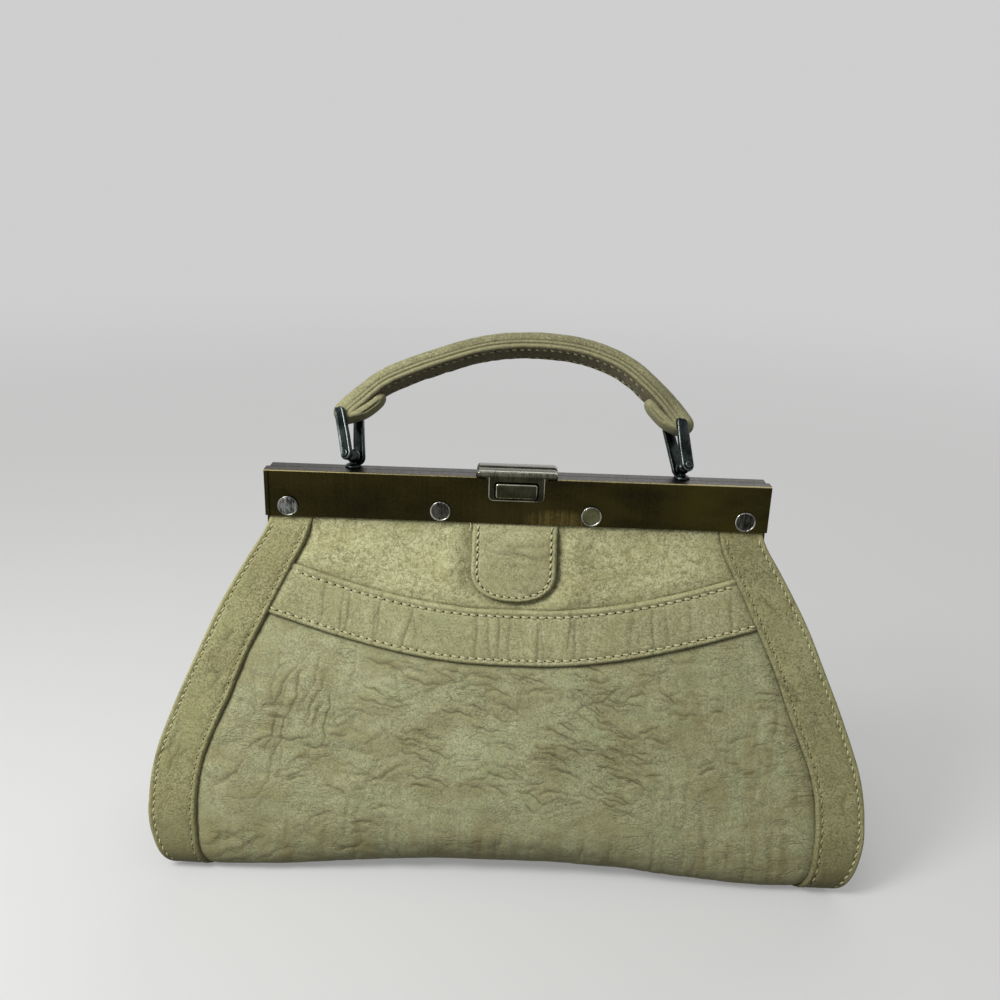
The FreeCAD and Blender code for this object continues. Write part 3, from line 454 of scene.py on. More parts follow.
def spline(table):
    """A smooth curve through a table of (place, value), by place."""
    rows = np.array(sorted(table), float)
    place, value = rows[:, 0], rows[:, 1]
    slope = np.gradient(value, place)

    def curve(x):
        x = np.clip(np.asarray(x, float), place[0], place[-1])
        i = np.clip(np.searchsorted(place, x) - 1, 0, len(place) - 2)
        span = place[i + 1] - place[i]
        u = (x - place[i]) / span
        first = (2 * u ** 3 - 3 * u ** 2 + 1) * value[i] + (u ** 3 - 2 * u ** 2 + u) * span * slope[i]
        return first + (3 * u ** 2 - 2 * u ** 3) * value[i + 1] + (u ** 3 - u ** 2) * span * slope[i + 1]
    return curve


def smooth(x, low, high):
    """0 at low, 1 at high, with a soft start and end."""
    u = np.clip((np.asarray(x, float) - low) / (high - low), 0, 1)
    return u * u * (3 - 2 * u)


def bell(x, width):
    """1 in the middle, falling off softly to both sides."""
    return np.exp(-(x / width) ** 2)


def unit(vectors):
    """Vectors brought to length 1."""
    return vectors / np.maximum(np.linalg.norm(vectors, axis=-1, keepdims=True), TINY)


def left_of(directions):
    """Directions in a plane, turned to their left."""
    return np.stack([-directions[:, 1], directions[:, 0]], axis=1)


def way_along(points):
    """The way along a line of points, from its start to each of them."""
    return np.concatenate([[0], np.cumsum(np.linalg.norm(np.diff(points, axis=0), axis=1))])


def at_way(places, along, rows):
    """The rows of a line, read off at places along it."""
    return np.stack([np.interp(places, along, column) for column in rows.T], axis=-1)


# The leather wall: a section that comes out of the rail, slopes outwards and rolls under into the base.
# drop is the way down the leather from the rail's lower edge.

# What the rail holds, half the depth there, and the straight way below the rail.
TUCK, MOUTH, SHOULDER = 9.0, 4.4, 2.0
# Half the depth at the foot, the roll into the base in the middle and at the ends, and where it gets tighter.
FOOT_OUT, ROLL, ROLL_TIGHT, TIGHTER = 42.0, 18.0, 8.5, (20, 118)
# The rounded lower corners, and the belly of the wall with the heights between which it ends.
CORNER_HALF, CORNER_ROUND = 121.0, 27.0
BELLY, BELLY_HALF, BELLY_TOP = 3.2, 150.0, (143, 128)
# The tab: half its width, its lower end, its rounding, and how far it stands off.
TAB_HALF, TAB_END, TAB_ROUND, TAB_SQUARE, TAB_LIFT = 17.4, 114.6, 12.5, 0.86, 1.8
# Thickness of the leather, its least height above the floor, and the height of the hinge.
LEATHER, FLOOR_GAP, HINGE_Z = 1.8, 0.06, 127.5
# How finely the section is worked out, and over how many steps its bends are softened.
ROLL_STEPS, WALL_STEPS, SOFT_STEPS, SOFT_SPREAD = 40, 700, 24, 9.0
TINY, SLIVER = 1e-9, 1e-6


def wall_table(roll):
    """Points (out, z) down the section, with the normal, for one radius of the roll into the base."""
    slope = math.atan2(FOOT_OUT - MOUTH, RAIL_BOTTOM - SHOULDER - ROLL)
    end = FOOT_OUT - ROLL / math.cos(slope)
    centre = FOOT_OUT - (roll + (roll - ROLL) * math.sin(slope)) / math.cos(slope)
    top = np.array([(MOUTH, RAIL_BOTTOM + TUCK), (MOUTH, RAIL_BOTTOM - SHOULDER)])
    bend = (end + ROLL * math.cos(slope), ROLL + ROLL * math.sin(slope))
    turns = np.linspace(slope, -math.pi / 2, ROLL_STEPS)
    rolled = [(centre + roll * math.cos(turn), roll + roll * math.sin(turn)) for turn in turns]
    lower = np.array([bend] + rolled + [(end - SLIVER, 0.0)])
    down = way_along(np.vstack([top, lower[:1]])) - TUCK
    under = way_along(lower)
    under *= ROLL * (slope + math.pi / 2) / under[-1]
    along = np.concatenate([down, down[-1] + under[1:]])
    drop = np.linspace(along[0], along[-1], WALL_STEPS)
    table = at_way(drop, along, np.vstack([top, lower]))
    kernel = np.exp(-0.5 * (np.arange(-SOFT_STEPS, SOFT_STEPS + 1) / SOFT_SPREAD) ** 2)
    kernel /= kernel.sum()
    for axis in (0, 1):
        column = table[:, axis]
        before = 2 * column[0] - column[SOFT_STEPS:0:-1]
        after = 2 * column[-1] - column[-2:-SOFT_STEPS - 2:-1]
        table[:, axis] = np.convolve(np.concatenate([before, column, after]), kernel, "valid")
    return drop, table, left_of(unit(np.gradient(table, axis=0)))


DROP, WALL, WALL_NORMAL = wall_table(ROLL)
END_WALL, END_NORMAL = wall_table(ROLL_TIGHT)[1:]
DROP_END = DROP[-1]


def height_at(drop):
    """The height of a drop on the wall."""
    return np.interp(drop, DROP, WALL[:, 1])


def drop_at(z):
    """The drop of a height on the sloping wall."""
    order = np.argsort(WALL[:, 1])
    return np.interp(z, WALL[order, 1], DROP[order])


# Edges of the leather pieces: half widths by height, then heights by the place across.
OUTER_EDGE = spline([(27, 148), (38, 147.3), (50, 145), (63, 140.5), (74.5, 135.8), (92, 128), (109, 120.2),
                     (122, 113), (132, 107), (140, 102.2), (145.5, 100.2), (155, 100.2)])
INNER_EDGE = spline([(0, 108), (1.5, 115), (4.5, 121), (10, 125), (21, 127.6), (36, 127.4), (49, 125), (59, 121.2),
                     (73, 115), (91, 107.8), (106, 100.5), (118, 94.5), (128, 89.4), (136, 85.4), (144, 83.2),
                     (155, 83.0)])
BAND_TOP = spline([(0, 111.4), (20, 111.9), (45, 115), (65, 119.4), (90, 126.6), (112, 134)])
BAND_BOTTOM = spline([(0, 89.4), (20, 89.9), (45, 93), (65, 97.2), (99, 106.4), (120, 112.5)])


def outer_half(z):
    """Half the width of the wall at a height, with its rounded lower corner."""
    z = np.asarray(z, float)
    rise = CORNER_ROUND - np.minimum(z, CORNER_ROUND)
    corner = CORNER_HALF + np.sqrt(np.maximum(CORNER_ROUND ** 2 - rise ** 2, 0))
    return np.where(z < CORNER_ROUND, corner, OUTER_EDGE(z))


def fullness(x, z):
    """How far the soft wall stands out beyond its flat section."""
    up = np.clip(z / RAIL_BOTTOM, 0, 1)
    across = np.clip(np.abs(x) / BELLY_HALF, 0, 1)
    belly = BELLY * np.sin(np.pi * up ** 0.8) * np.cos(across * np.pi / 2) ** 0.6
    return belly * smooth(z, *BELLY_TOP)


def wall_point(x, drop, lift, side):
    """Points of the front (-1) or back (1) wall, lifted off its flat section. Its roll is tighter at the ends."""
    x, drop, lift = np.broadcast_arrays(np.asarray(x, float), np.asarray(drop, float), np.asarray(lift, float))
    lift = lift + fullness(x, height_at(drop))
    tight = smooth(np.abs(x), *TIGHTER)
    section = []
    for axis in (0, 1):
        middle = np.interp(drop, DROP, WALL[:, axis]) + lift * np.interp(drop, DROP, WALL_NORMAL[:, axis])
        ends = np.interp(drop, DROP, END_WALL[:, axis]) + lift * np.interp(drop, DROP, END_NORMAL[:, axis])
        section.append(middle + tight * (ends - middle))
    return np.stack([x, side * section[0], np.maximum(section[1], FLOOR_GAP)], axis=-1)


def field(x, z, across, up, seed, octaves=3):
    """Smooth noise over a wall, about -1 to 1, with a grain length across and up."""
    flat_x, flat_z = np.ravel(x), np.ravel(z)
    values = np.empty(flat_x.size)
    for i in range(flat_x.size):
        spot = Vector((flat_x[i] / across, flat_z[i] / up, seed))
        values[i] = noise.fractal(spot, 1.0, 2.0, octaves)
    return values.reshape(np.shape(x))


def crease_lines(x, z, across, up, seed, width):
    """Thin wandering lines, where smooth noise passes through nought, and the puffed leather between them."""
    bend_x = x + 6 * field(x, z, 15, 15, seed + 0.3, 2)
    bend_z = z + 6 * field(x, z, 15, 15, seed + 0.7, 2)
    value = field(bend_x, bend_z, across, up, seed, 2)
    patch = smooth(field(x, z, 26, 18, seed + 5.5, 2), -0.2, 0.25)
    return bell(value, width) * patch, (1 - np.exp(-np.abs(value) / 0.2)) * patch


# Creases of a group: their spread in direction, their depth, how far apart they lie, and the most they swell.
FOLD_SPREAD, FOLD_DEPTH, FOLD_APART, MOST_SWELL = 5, (0.3, 1.0), (2.4, 5.0), 1.3


def strokes(seed, count, across, up, length, slope, spread, folds=1):
    """Creases strewn over a stretch of leather, side by side in small groups: place, half length, direction,
    wave and depth of each."""
    chance = random.Random(seed)
    made = []
    for _ in range(count):
        x, z = chance.uniform(*across), chance.uniform(*up)
        turn, phase = math.radians(chance.gauss(slope, spread)), chance.uniform(0, math.tau)
        aside = 0.0
        for _ in range(chance.randint(1, folds)):
            half = chance.uniform(*length) / 2
            ahead = half * chance.uniform(-0.5, 0.5)
            here_x = x + ahead * math.cos(turn) - aside * math.sin(turn)
            here_z = z + ahead * math.sin(turn) + aside * math.cos(turn)
            turned = turn + math.radians(chance.gauss(0, FOLD_SPREAD))
            made.append((here_x, here_z, half, turned, phase, chance.uniform(*FOLD_DEPTH)))
            aside += chance.uniform(*FOLD_APART)
            phase += chance.uniform(-0.8, 0.8)
    return made


def pressed(x, z, creases, width=0.5, shoulder=2.2, wave=0.6):
    """How deep the leather is pressed in along creases, and how far it swells beside them."""
    groove, swell = np.zeros_like(x), np.zeros_like(x)
    for middle_x, middle_z, half, turn, phase, depth in creases:
        along = (x - middle_x) * math.cos(turn) + (z - middle_z) * math.sin(turn)
        aside = (z - middle_z) * math.cos(turn) - (x - middle_x) * math.sin(turn)
        near = (np.abs(along) < half) & (np.abs(aside) < 4 * shoulder)
        a = along[near]
        off = aside[near] - wave * (np.sin(a / 2.3 + phase) + 0.45 * np.sin(a / 0.95 + 2.3 * phase))
        fade = depth * np.sqrt(1 - (a / half) ** 2)
        groove[near] = np.maximum(groove[near], fade * bell(off, width))
        swell[near] += fade * bell(np.abs(off) - shoulder, 0.75 * shoulder)
    return groove, np.minimum(swell, MOST_SWELL)


# Creases of the wide panel: level ones, a falling run and fine ones at the right, rising and upright ones
# at the left. Its streaks are soft upright folds along the bottom and at the right.
PANEL_CREASES = (strokes(3, 66, (-66, 60), (30, 88), (6, 19), -8, 11, 2)
                 + strokes(5, 10, (4, 52), (42, 66), (8, 22), -20, 7, 4)
                 + strokes(7, 40, (30, 110), (46, 100), (4, 13), -3, 14, 2)
                 + strokes(11, 26, (-118, -48), (6, 70), (7, 24), 16, 12, 2)
                 + strokes(13, 9, (-106, -58), (26, 98), (10, 30), 75, 7, 2))
PANEL_STREAKS = (strokes(17, 34, (-95, 116), (3, 28), (8, 24), 88, 5)
                 + strokes(19, 14, (56, 112), (16, 72), (10, 30), 97, 7))
BAND_CREASES = (strokes(23, 9, (-92, -8), (9, 13), (18, 26), 90, 3)
                + strokes(29, 14, (-6, 92), (9, 13), (18, 26), 90, 3))
TAB_CREASES = (strokes(31, 3, (-2, 3), (131, 139), (22, 30), 1, 5, 2)
               + strokes(37, 6, (-12, 12), (117, 138), (5, 11), 20, 30))
YOKE_CREASES = strokes(41, 46, (-86, 86), (112, 144), (2, 8), 15, 40)


def spaced(length, step, close=()):
    """Places along a length: fine ones near both ends, then even ones."""
    near = [c for c in close if c < length / 2]
    first = near[-1] if near else 0.0
    count = max(2, int(round((length - 2 * first) / step)) + 1)
    middle = np.linspace(first, length - first, count)
    return np.concatenate([near[:-1], middle, [length - c for c in reversed(near[:-1])]])


# Distances from a turned edge at which points lie.
EDGE_STEPS = (0.0, 0.12, 0.35, 0.7, 1.1, 1.6, 2.1, 2.6, 3.1, 3.7, 4.6, 6.0)


def turned_edge(distance, radius=1.3, groove_at=2.6, groove=0.38):
    """The lift near a folded and stitched edge: rounded off, a full rim, then drawn in along the stitches."""
    d = np.clip(distance, 0, radius)
    rounding = np.sqrt(np.maximum(radius ** 2 - (radius - d) ** 2, 0)) - radius
    return rounding + 0.22 * bell(distance - 1.2, 0.8) - groove * bell(distance - groove_at, 0.8)


def seam_shade(distance):
    """Painted shade along a seam, by the distance from the piece that lies over it: a thin dark line in a soft
    shade.
    """
    away = np.maximum(distance - 0.2, 0)
    return 0.6 * bell(away, 0.5) + 0.2 * bell(away, 2.4)


def below_rail(drop):
    """0 at the rail's edge, rising to 1 below it, so that creases end under the rail."""
    return smooth(drop, 0, 8)


# Widest piece, rounds to find its edges, how far it goes under the side bands, and its thinnest place.
PANEL_SPAN, EDGE_ROUNDS, UNDER_SIDE, THINNEST = 250, 12, 3.0, 0.5


def centre_panel(name, side, top_of, bottom_of, lift_of, material, wrinkle, step=1.6, steps=(), seam_of=None,
                 stain_of=None):
    """A piece between the side bands. top_of and bottom_of give the drop of its edges at each place across."""
    share = np.linspace(-1, 1, int(PANEL_SPAN / step))
    probes = np.array([0.0, 60.0])
    rough_length = float(np.mean(bottom_of(probes) - top_of(probes)))
    levels = spaced(rough_length, step, steps) / rough_length
    x = np.tile(share * 100, (len(levels), 1))
    for _ in range(EDGE_ROUNDS):
        top, bottom = top_of(x), bottom_of(x)
        drop = top + levels[:, None] * (bottom - top)
        x = share * (INNER_EDGE(height_at(drop)) + UNDER_SIDE)
    z = height_at(drop)
    lift = lift_of(x, drop, drop - top, bottom - drop)
    beside = INNER_EDGE(z) - np.abs(x)
    shade = seam_shade(beside)
    dip = 0.7 * bell(np.maximum(beside, 0), 2.4)
    if seam_of:
        distance = seam_of(x, drop)
        shade = np.maximum(shade, seam_shade(distance))
        dip = np.maximum(dip, 0.5 * bell(np.maximum(distance, 0), 2.6))
    relief, crease_shade = wrinkle(x, z)
    free = below_rail(drop)
    covered = 0.9 * smooth(beside, 0.5, -0.5)
    lift = np.maximum(lift + (relief - dip) * free - covered * (1 - free), THINNEST - LEATHER)
    outer = wall_point(x, drop, lift, side)
    inner = wall_point(x, drop, np.full_like(lift, -LEATHER), side)
    # Lighter in patches just below the rail's edge.
    rub_and_highlight = 0.5 * bell(np.maximum(drop, 0), 0.9) * smooth(field(x, z, 9, 30, 17.0, 2), 0.0, 0.3)
    streak = np.maximum(smooth(z, 40, 6), 0.6 * smooth(x, 40, 105) * smooth(z, 100, 60))
    # Painted shade of the creases and of the seams, in one mark.
    marks = {"crease_shade": np.clip(np.maximum(crease_shade, shade), 0, 1), "rub_and_highlight": rub_and_highlight, "streak": streak}
    if stain_of:
        marks["stain"] = stain_of(x, z)
    return shell(name, outer, inner, material, marks)


def puffs(x, z, across, up, turn, seed):
    """Cushions of soft leather between creases: 0 along the creases, rising to each cushion's middle."""
    count = 48
    spots = np.random.RandomState(seed).rand(count, count, 2) * 0.8 + 0.1
    bent_x = x + 3.0 * field(x, z, 18, 14, seed + 0.3, 2)
    bent_z = z + 2.5 * field(x, z, 16, 14, seed + 5.3, 2)
    u = (bent_x * math.cos(turn) + bent_z * math.sin(turn)) / across
    v = (bent_z * math.cos(turn) - bent_x * math.sin(turn)) / up
    cell_u, cell_v = np.floor(u).astype(int), np.floor(v).astype(int)
    nearest = np.full(u.shape, 9.0)
    second = nearest.copy()
    for step_u in (-1, 0, 1):
        for step_v in (-1, 0, 1):
            spot = spots[(cell_u + step_u) % count, (cell_v + step_v) % count]
            distance = np.hypot(cell_u + step_u + spot[..., 0] - u, cell_v + step_v + spot[..., 1] - v)
            second = np.minimum(second, np.maximum(nearest, distance))
            nearest = np.minimum(nearest, distance)
    return second - nearest


def panel_puffs(x, z):
    """Wide and small cushions of the panel, as distances from their creases, and how much they show."""
    wide = 11.0 * puffs(x, z, 13.0, 9.0, math.radians(-14), 4)
    small = 6.0 * puffs(x, z, 7.0, 5.0, math.radians(-6), 9)
    right = smooth(x, 15, 65)
    calm = 1 - 0.7 * smooth(np.hypot((x - 5) / 60, (z - 20) / 22), 1.2, 0.7)
    shown = smooth(field(x, z, 24, 17, 12.2, 2), -0.4, 0.3) * calm * smooth(z, 2, 14)
    return wide, small, right, shown


def panel_wrinkles(x, z):
    """Creases, swellings and dents of the wide lower panel, with painted shade in the creases."""
    wide, small, right, shown = panel_puffs(x, z)
    dents = 0.7 * field(x, z, 44, 32, 2.2, 2) + 0.3 * field(x, z, 15, 8, 6.1, 2)
    cushion = 0.3 * (1 - 0.6 * right) * (1 - bell(wide, 3.0))
    cushion = cushion + 0.14 * (0.3 + 0.7 * right) * (1 - bell(small, 1.8))
    line = np.maximum((1 - 0.5 * right) * bell(wide, 0.6), (0.2 + 0.6 * right) * bell(small, 0.5))
    groove, swell = pressed(x, z, PANEL_CREASES, width=0.38, shoulder=1.7)
    soft, soft_swell = pressed(x, z, PANEL_STREAKS, width=0.8, shoulder=3.0, wave=0.3)
    foot = 0.25 + 0.75 * smooth(z, 1, 12)
    relief = dents + cushion * (0.4 + 0.6 * shown)
    relief = relief + 0.17 * swell - 0.22 * groove + 0.18 * soft_swell - 0.18 * soft
    crease_shade = np.maximum(0.85 * groove * foot, 0.26 * line * shown)
    return relief * foot, np.maximum(crease_shade, 0.28 * soft)


def panel_stain(x, z):
    """Warm brown along the panel's creases and towards its left edge."""
    wide, _, right, shown = panel_puffs(x, z)
    halo = 0.5 * (1 - 0.7 * right) * bell(wide, 2.2) * shown
    worn = pressed(x, z, PANEL_CREASES, width=2.2, wave=0.55)[0]
    left = 0.4 * smooth(x, -72, -114) * smooth(field(x, z, 15, 22, 31.0, 2), -0.4, 0.4)
    return np.clip(0.75 * np.maximum(halo, worn) + left, 0, 1)


def tab_distance(x, z):
    """How far a place on the yoke is outside the tab's edge."""
    down = drop_at(TAB_END) - drop_at(z)
    round_part = np.hypot(x / TAB_HALF, (TAB_ROUND - down) / TAB_ROUND) - 1
    return np.where(down > TAB_ROUND, np.abs(x) - TAB_HALF, round_part * TAB_ROUND * 1.15)


def tab_relief(x, z):
    """Folds across the clasp tab, with painted shade in them."""
    folds, swell = pressed(x, z, TAB_CREASES, width=0.6)
    return 0.35 * field(x, z, 14, 10, 12.8, 2) + 0.4 * swell - 0.4 * folds, 0.6 * folds


def band_wrinkles(x, z):
    """Upright creases across the curved band, with painted shade in them."""
    up = z - BAND_BOTTOM(np.abs(x))
    upright, swell = pressed(x, up, BAND_CREASES, width=0.48, wave=0.22)
    small = crease_lines(x, z, 12, 12, 59.0, 0.05)[0]
    relief = 0.2 * field(x, z, 25, 20, 8.8, 2) + 0.16 * swell - 0.22 * upright - 0.08 * small
    return relief, 0.62 * upright + 0.15 * small


def yoke_wrinkles(x, z):
    """Small creases of the yoke, the hollow and the swelling round the tab, and painted shade in the creases and
    round the tab.
    """
    small, swell = pressed(x, z, YOKE_CREASES, width=0.5, shoulder=1.6)
    away = tab_distance(x, z)
    outside = away > -2.5
    relief = 0.4 * field(x, z, 30, 22, 4.8, 2) + bell(away - 8.0, 4.5) - bell(away, 3.2) * outside
    relief = relief + 0.12 * swell - 0.14 * small
    # Painted shadow round the tab: a thin dark line at its edge in a wider soft shade.
    beside = np.maximum(away, 0)
    shade = (0.35 * bell(beside, 1.2) + 0.32 * bell(beside, 3.8)) * outside
    return relief, np.maximum(0.22 * small, shade)


def side_wrinkles(x, z):
    """Creases of a side band, most of them along it, with painted shade in them."""
    small = crease_lines(x, z, 15, 12, 83.0, 0.05)[0]
    upright, upright_puff = crease_lines(x + 0.4 * z * np.sign(x), z, 9, 50, 91.0, 0.05)
    relief = 0.35 * field(x, z, 26, 30, 9.4, 2) + 0.26 * upright_puff - 0.2 * upright - 0.1 * small
    return relief, 0.45 * upright + 0.2 * small


# How far the raised pieces lie above the wall, what the band covers, and how far seams are from their edges.
BAND_LIFT, SIDE_LIFT = 1.3, 1.35
UNDER_BAND = 4.0
TOP_SEAM, BOTTOM_SEAM, INNER_SEAM, OUTER_SEAM, TAB_SEAM = 2.9, 2.4, 2.4, 2.3, 2.4
SIDE_ROWS, SIDE_WIDTH, SIDE_SHEET = 230, 18.0, 1.4


def emerging(drop):
    """0 inside the rail, rising to 1 below it, so that raised pieces come out from under the rail."""
    return smooth(drop, -0.5, 6.0)


def foot_fade(z):
    """0 on the floor, rising to 1 above the foot, so that raised pieces lie flat under the bag."""
    return smooth(z, 0.5, 14)


def rail_edge(x):
    """The upper end of the leather, inside the rail."""
    return np.full_like(x, -TUCK)


def base_edge(x):
    """The lower end of the leather, under the base."""
    return np.full_like(x, DROP_END)


def band_top(x):
    """The upper edge of the curved band."""
    return drop_at(BAND_TOP(np.abs(x)))


def band_bottom(x):
    """The lower edge of the curved band."""
    return drop_at(BAND_BOTTOM(np.abs(x)))


def unlifted(x, drop, above, below):
    """For pieces that lie flat on the wall."""
    return np.zeros_like(x)


def band_lift(x, drop, above, below):
    """The curved band lies on the other pieces, with two turned edges."""
    return BAND_LIFT + turned_edge(above, groove_at=TOP_SEAM) + turned_edge(below, groove_at=BOTTOM_SEAM)


def front_centre():
    """Yoke, lower panel and the curved band over both."""
    yoke = centre_panel("front_yoke_leather", FRONT, rail_edge, lambda x: band_top(x) + UNDER_BAND, unlifted, YOKE,
                        yoke_wrinkles, step=0.8, seam_of=lambda x, drop: band_top(x) - drop)
    finish_piece(yoke, "bag", ["front_yoke"])
    panel = centre_panel("front_panel_leather", FRONT, lambda x: band_bottom(x) - UNDER_BAND, base_edge, unlifted,
                         PANEL, panel_wrinkles, step=0.5, seam_of=lambda x, drop: drop - band_bottom(x),
                         stain_of=panel_stain)
    finish_piece(panel, "bag", ["front_panel"])
    band = centre_panel("front_band_leather", FRONT, band_top, band_bottom, band_lift, BAND, band_wrinkles,
                        step=0.6, steps=EDGE_STEPS)
    finish_piece(band, "bag", ["front_band"])


def side_band(name, side, end, body, nodes):
    """The strip along a flank, from the rail to the base, on top of the centre pieces."""
    drop = np.linspace(-TUCK, DROP_END, SIDE_ROWS)[:, None]
    z = height_at(drop)
    inner_x, outer_x = INNER_EDGE(z), outer_half(z)
    width = spaced(SIDE_WIDTH, 0.8, EDGE_STEPS) / SIDE_WIDTH
    x = inner_x + width * (outer_x - inner_x)
    slant = np.cos(np.arctan(np.gradient(inner_x[:, 0], drop[:, 0])))[:, None]
    from_inner, from_outer = slant * (x - inner_x), slant * (outer_x - x)
    edges = turned_edge(from_inner, groove_at=INNER_SEAM)
    edges = edges + turned_edge(from_outer, radius=0.8, groove_at=OUTER_SEAM)
    drop, z = np.broadcast_to(drop, x.shape), np.broadcast_to(z, x.shape)
    foot = foot_fade(z)
    relief, crease_shade = side_wrinkles(x * end, z)
    lift = (SIDE_LIFT + edges) * emerging(drop) * foot + relief * below_rail(drop) * foot
    outer = wall_point(x * end, drop, lift, side)
    under = np.minimum(lift - 1.0, 0.1) * foot - SIDE_SHEET * (1 - foot)
    inner = wall_point(x * end, drop, under, side)
    # The outer edge is lighter.
    obj = shell(name, outer, inner, SIDE, {"crease_shade": crease_shade, "rub_and_highlight": 0.6 * bell(from_outer, 1.2)})
    return finish_piece(obj, body, nodes)


def tab_outline(inset, count=90):
    """The tab's U, brought in by an inset: points (x, drop) from the upper left round to the upper right."""
    half = TAB_HALF - inset
    rise = TAB_ROUND * half / TAB_HALF
    centre = drop_at(TAB_END) - TAB_ROUND
    leg = np.linspace(-1.5, centre, count // 3)
    turn = np.linspace(math.pi, 2 * math.pi, count // 3 + 2)[1:-1]
    arc_x = half * np.sign(np.cos(turn)) * np.abs(np.cos(turn)) ** TAB_SQUARE
    arc_d = centre + rise * np.abs(np.sin(turn)) ** TAB_SQUARE
    x = np.concatenate([np.full(leg.size, -half), arc_x, np.full(leg.size, half)])
    return x, np.concatenate([leg, arc_d, leg[::-1]])


def tab_lift(x, drop, edge):
    """How far the tab stands off the yoke, with the lift of its edge or seam."""
    raised = (TAB_LIFT + edge) * smooth(drop, -1.0, 7.0) + 0.12
    return raised + tab_relief(x, height_at(drop))[0] * below_rail(drop)


def clasp_tab():
    """The leather tab under the clasp: rings of points from its edge to its middle line."""
    insets = np.array([*EDGE_STEPS, 8.0, 10.5, 13.0, 15.5, TAB_HALF])
    x, drop = np.array([tab_outline(inset) for inset in insets]).transpose(1, 0, 2)
    edge = turned_edge(insets, radius=1.2, groove_at=TAB_SEAM)[:, None]
    outer = wall_point(x, drop, tab_lift(x, drop, edge), FRONT)
    inner = wall_point(x, drop, np.full_like(x, -LEATHER / 2), FRONT)
    crease_shade = tab_relief(x, height_at(drop))[1]
    obj = shell("clasp_tab_leather", outer, inner, BAND, {"crease_shade": crease_shade, "rub_and_highlight": np.zeros_like(x)})
    finish_piece(obj, "bag", ["clasp_tab"])


# Stitches

STITCH_SIDES, HOLE_SPOKES = 6, 10
STITCH_TAPER = (0.5, 0.88, 1.0, 1.0, 0.88, 0.5)
HOLE_RADIUS, HOLE_RISE, HOLE_DEPTH = 0.42, 0.12, 0.4


def hole_shape(middle, ahead, up):
    """Points and faces of a needle hole: a low cone over a short wall."""
    aside = np.cross(ahead, up)
    spokes = [(np.cos(turn) * ahead + np.sin(turn) * aside) * HOLE_RADIUS for turn in turns_of(HOLE_SPOKES)]
    points = [middle + up * HOLE_RISE] + [middle + spoke for spoke in spokes]
    points += [middle - up * HOLE_DEPTH + spoke for spoke in spokes]
    faces = [(0, 1 + (k + 1) % HOLE_SPOKES, 1 + k) for k in range(HOLE_SPOKES)]
    faces += grid_faces(2, HOLE_SPOKES, 1, wrap=True)
    faces.append(tuple(1 + HOLE_SPOKES + k for k in range(HOLE_SPOKES)))
    return points, faces


def stitch_row(name, path, normals, body, pitch=3.45, share=0.62, radius=0.34, colour=THREAD, slant=0.3):
    """A row of sewn stitches along a path: short slanting threads, with a needle hole in painted shade between
    them.
    """
    along = way_along(path)
    count = max(1, int(along[-1] // pitch))
    pitch = along[-1] / count
    points, faces, kinds = [], [], []
    rings = len(STITCH_TAPER)
    reach = np.linspace(-0.5, 0.5, rings)
    rise = radius * (0.6 * np.sin(np.linspace(0, np.pi, rings)) - 0.3)
    for i in range(count):
        places = (i + 0.5 + share * reach) * pitch
        spine, up = at_way(places, along, path), unit(at_way(places, along, normals))
        across = np.cross(unit(np.gradient(spine, axis=0)), up)
        spine = spine + across * (slant * 2 * reach)[:, None] + up * rise[:, None]
        loops = []
        for k, taper in enumerate(STITCH_TAPER):
            around = [np.cos(turn) * across[k] - np.sin(turn) * up[k] for turn in turns_of(STITCH_SIDES)]
            loops.append(spine[k] + np.array(around) * radius * taper)
        kinds += [0] * joined(points, faces, stacked(loops, close_first=True))
        if i < count - 1:
            middle, before, after = at_way(np.array([i + 1.0, i + 0.85, i + 1.15]) * pitch, along, path)
            tip = unit(at_way((i + 1.0) * pitch, along, normals))
            kinds += [1] * joined(points, faces, hole_shape(middle, unit(after - before), tip))
    return finish_piece(mesh_piece(name, points, faces, [colour, HOLE_SHADE], kinds), body)


def wall_path(x, drop, lift, side):
    """Points and outward normals along a line on a wall."""
    points = wall_point(x, drop, lift, side)
    near = wall_point(x, drop, np.asarray(lift) + 1.0, side)
    return points, near - points


def front_stitches():
    """Two rows along the curved band and one round the tab."""
    for name, edge_of, height, inset in (("band_top_stitches", band_top, BAND_TOP(88.0), TOP_SEAM),
                                         ("band_bottom_stitches", band_bottom, BAND_BOTTOM(98.0), -BOTTOM_SEAM)):
        across = np.linspace(-1, 1, 160) * (INNER_EDGE(height) - 1.0)
        drop = edge_of(across) + inset
        lift = BAND_LIFT - 0.28 + band_wrinkles(across, height_at(drop))[0]
        stitch_row(name, *wall_path(across, drop, lift, FRONT), "bag", share=0.7, radius=0.46)
    x, drop = tab_outline(TAB_SEAM, 240)
    x, drop = x[drop > 0.6], drop[drop > 0.6]
    path, normals = wall_path(x, drop, tab_lift(x, drop, -0.22), FRONT)
    stitch_row("tab_stitches", path, normals, "bag", pitch=2.9, share=0.72, radius=0.44)


def tab_thread():
    """A loose end of thread where the tab leaves the rail."""
    drop = np.linspace(0.3, 4.2, 8)
    x = -TAB_HALF - 0.9 + 0.25 * np.sin(drop)
    path, normals = wall_path(x, drop, 1.0 + 0.1 * drop, FRONT)
    stitch_row("tab_thread_end", path, normals, "bag", pitch=3.9, share=1.0, radius=0.3, slant=0.0)


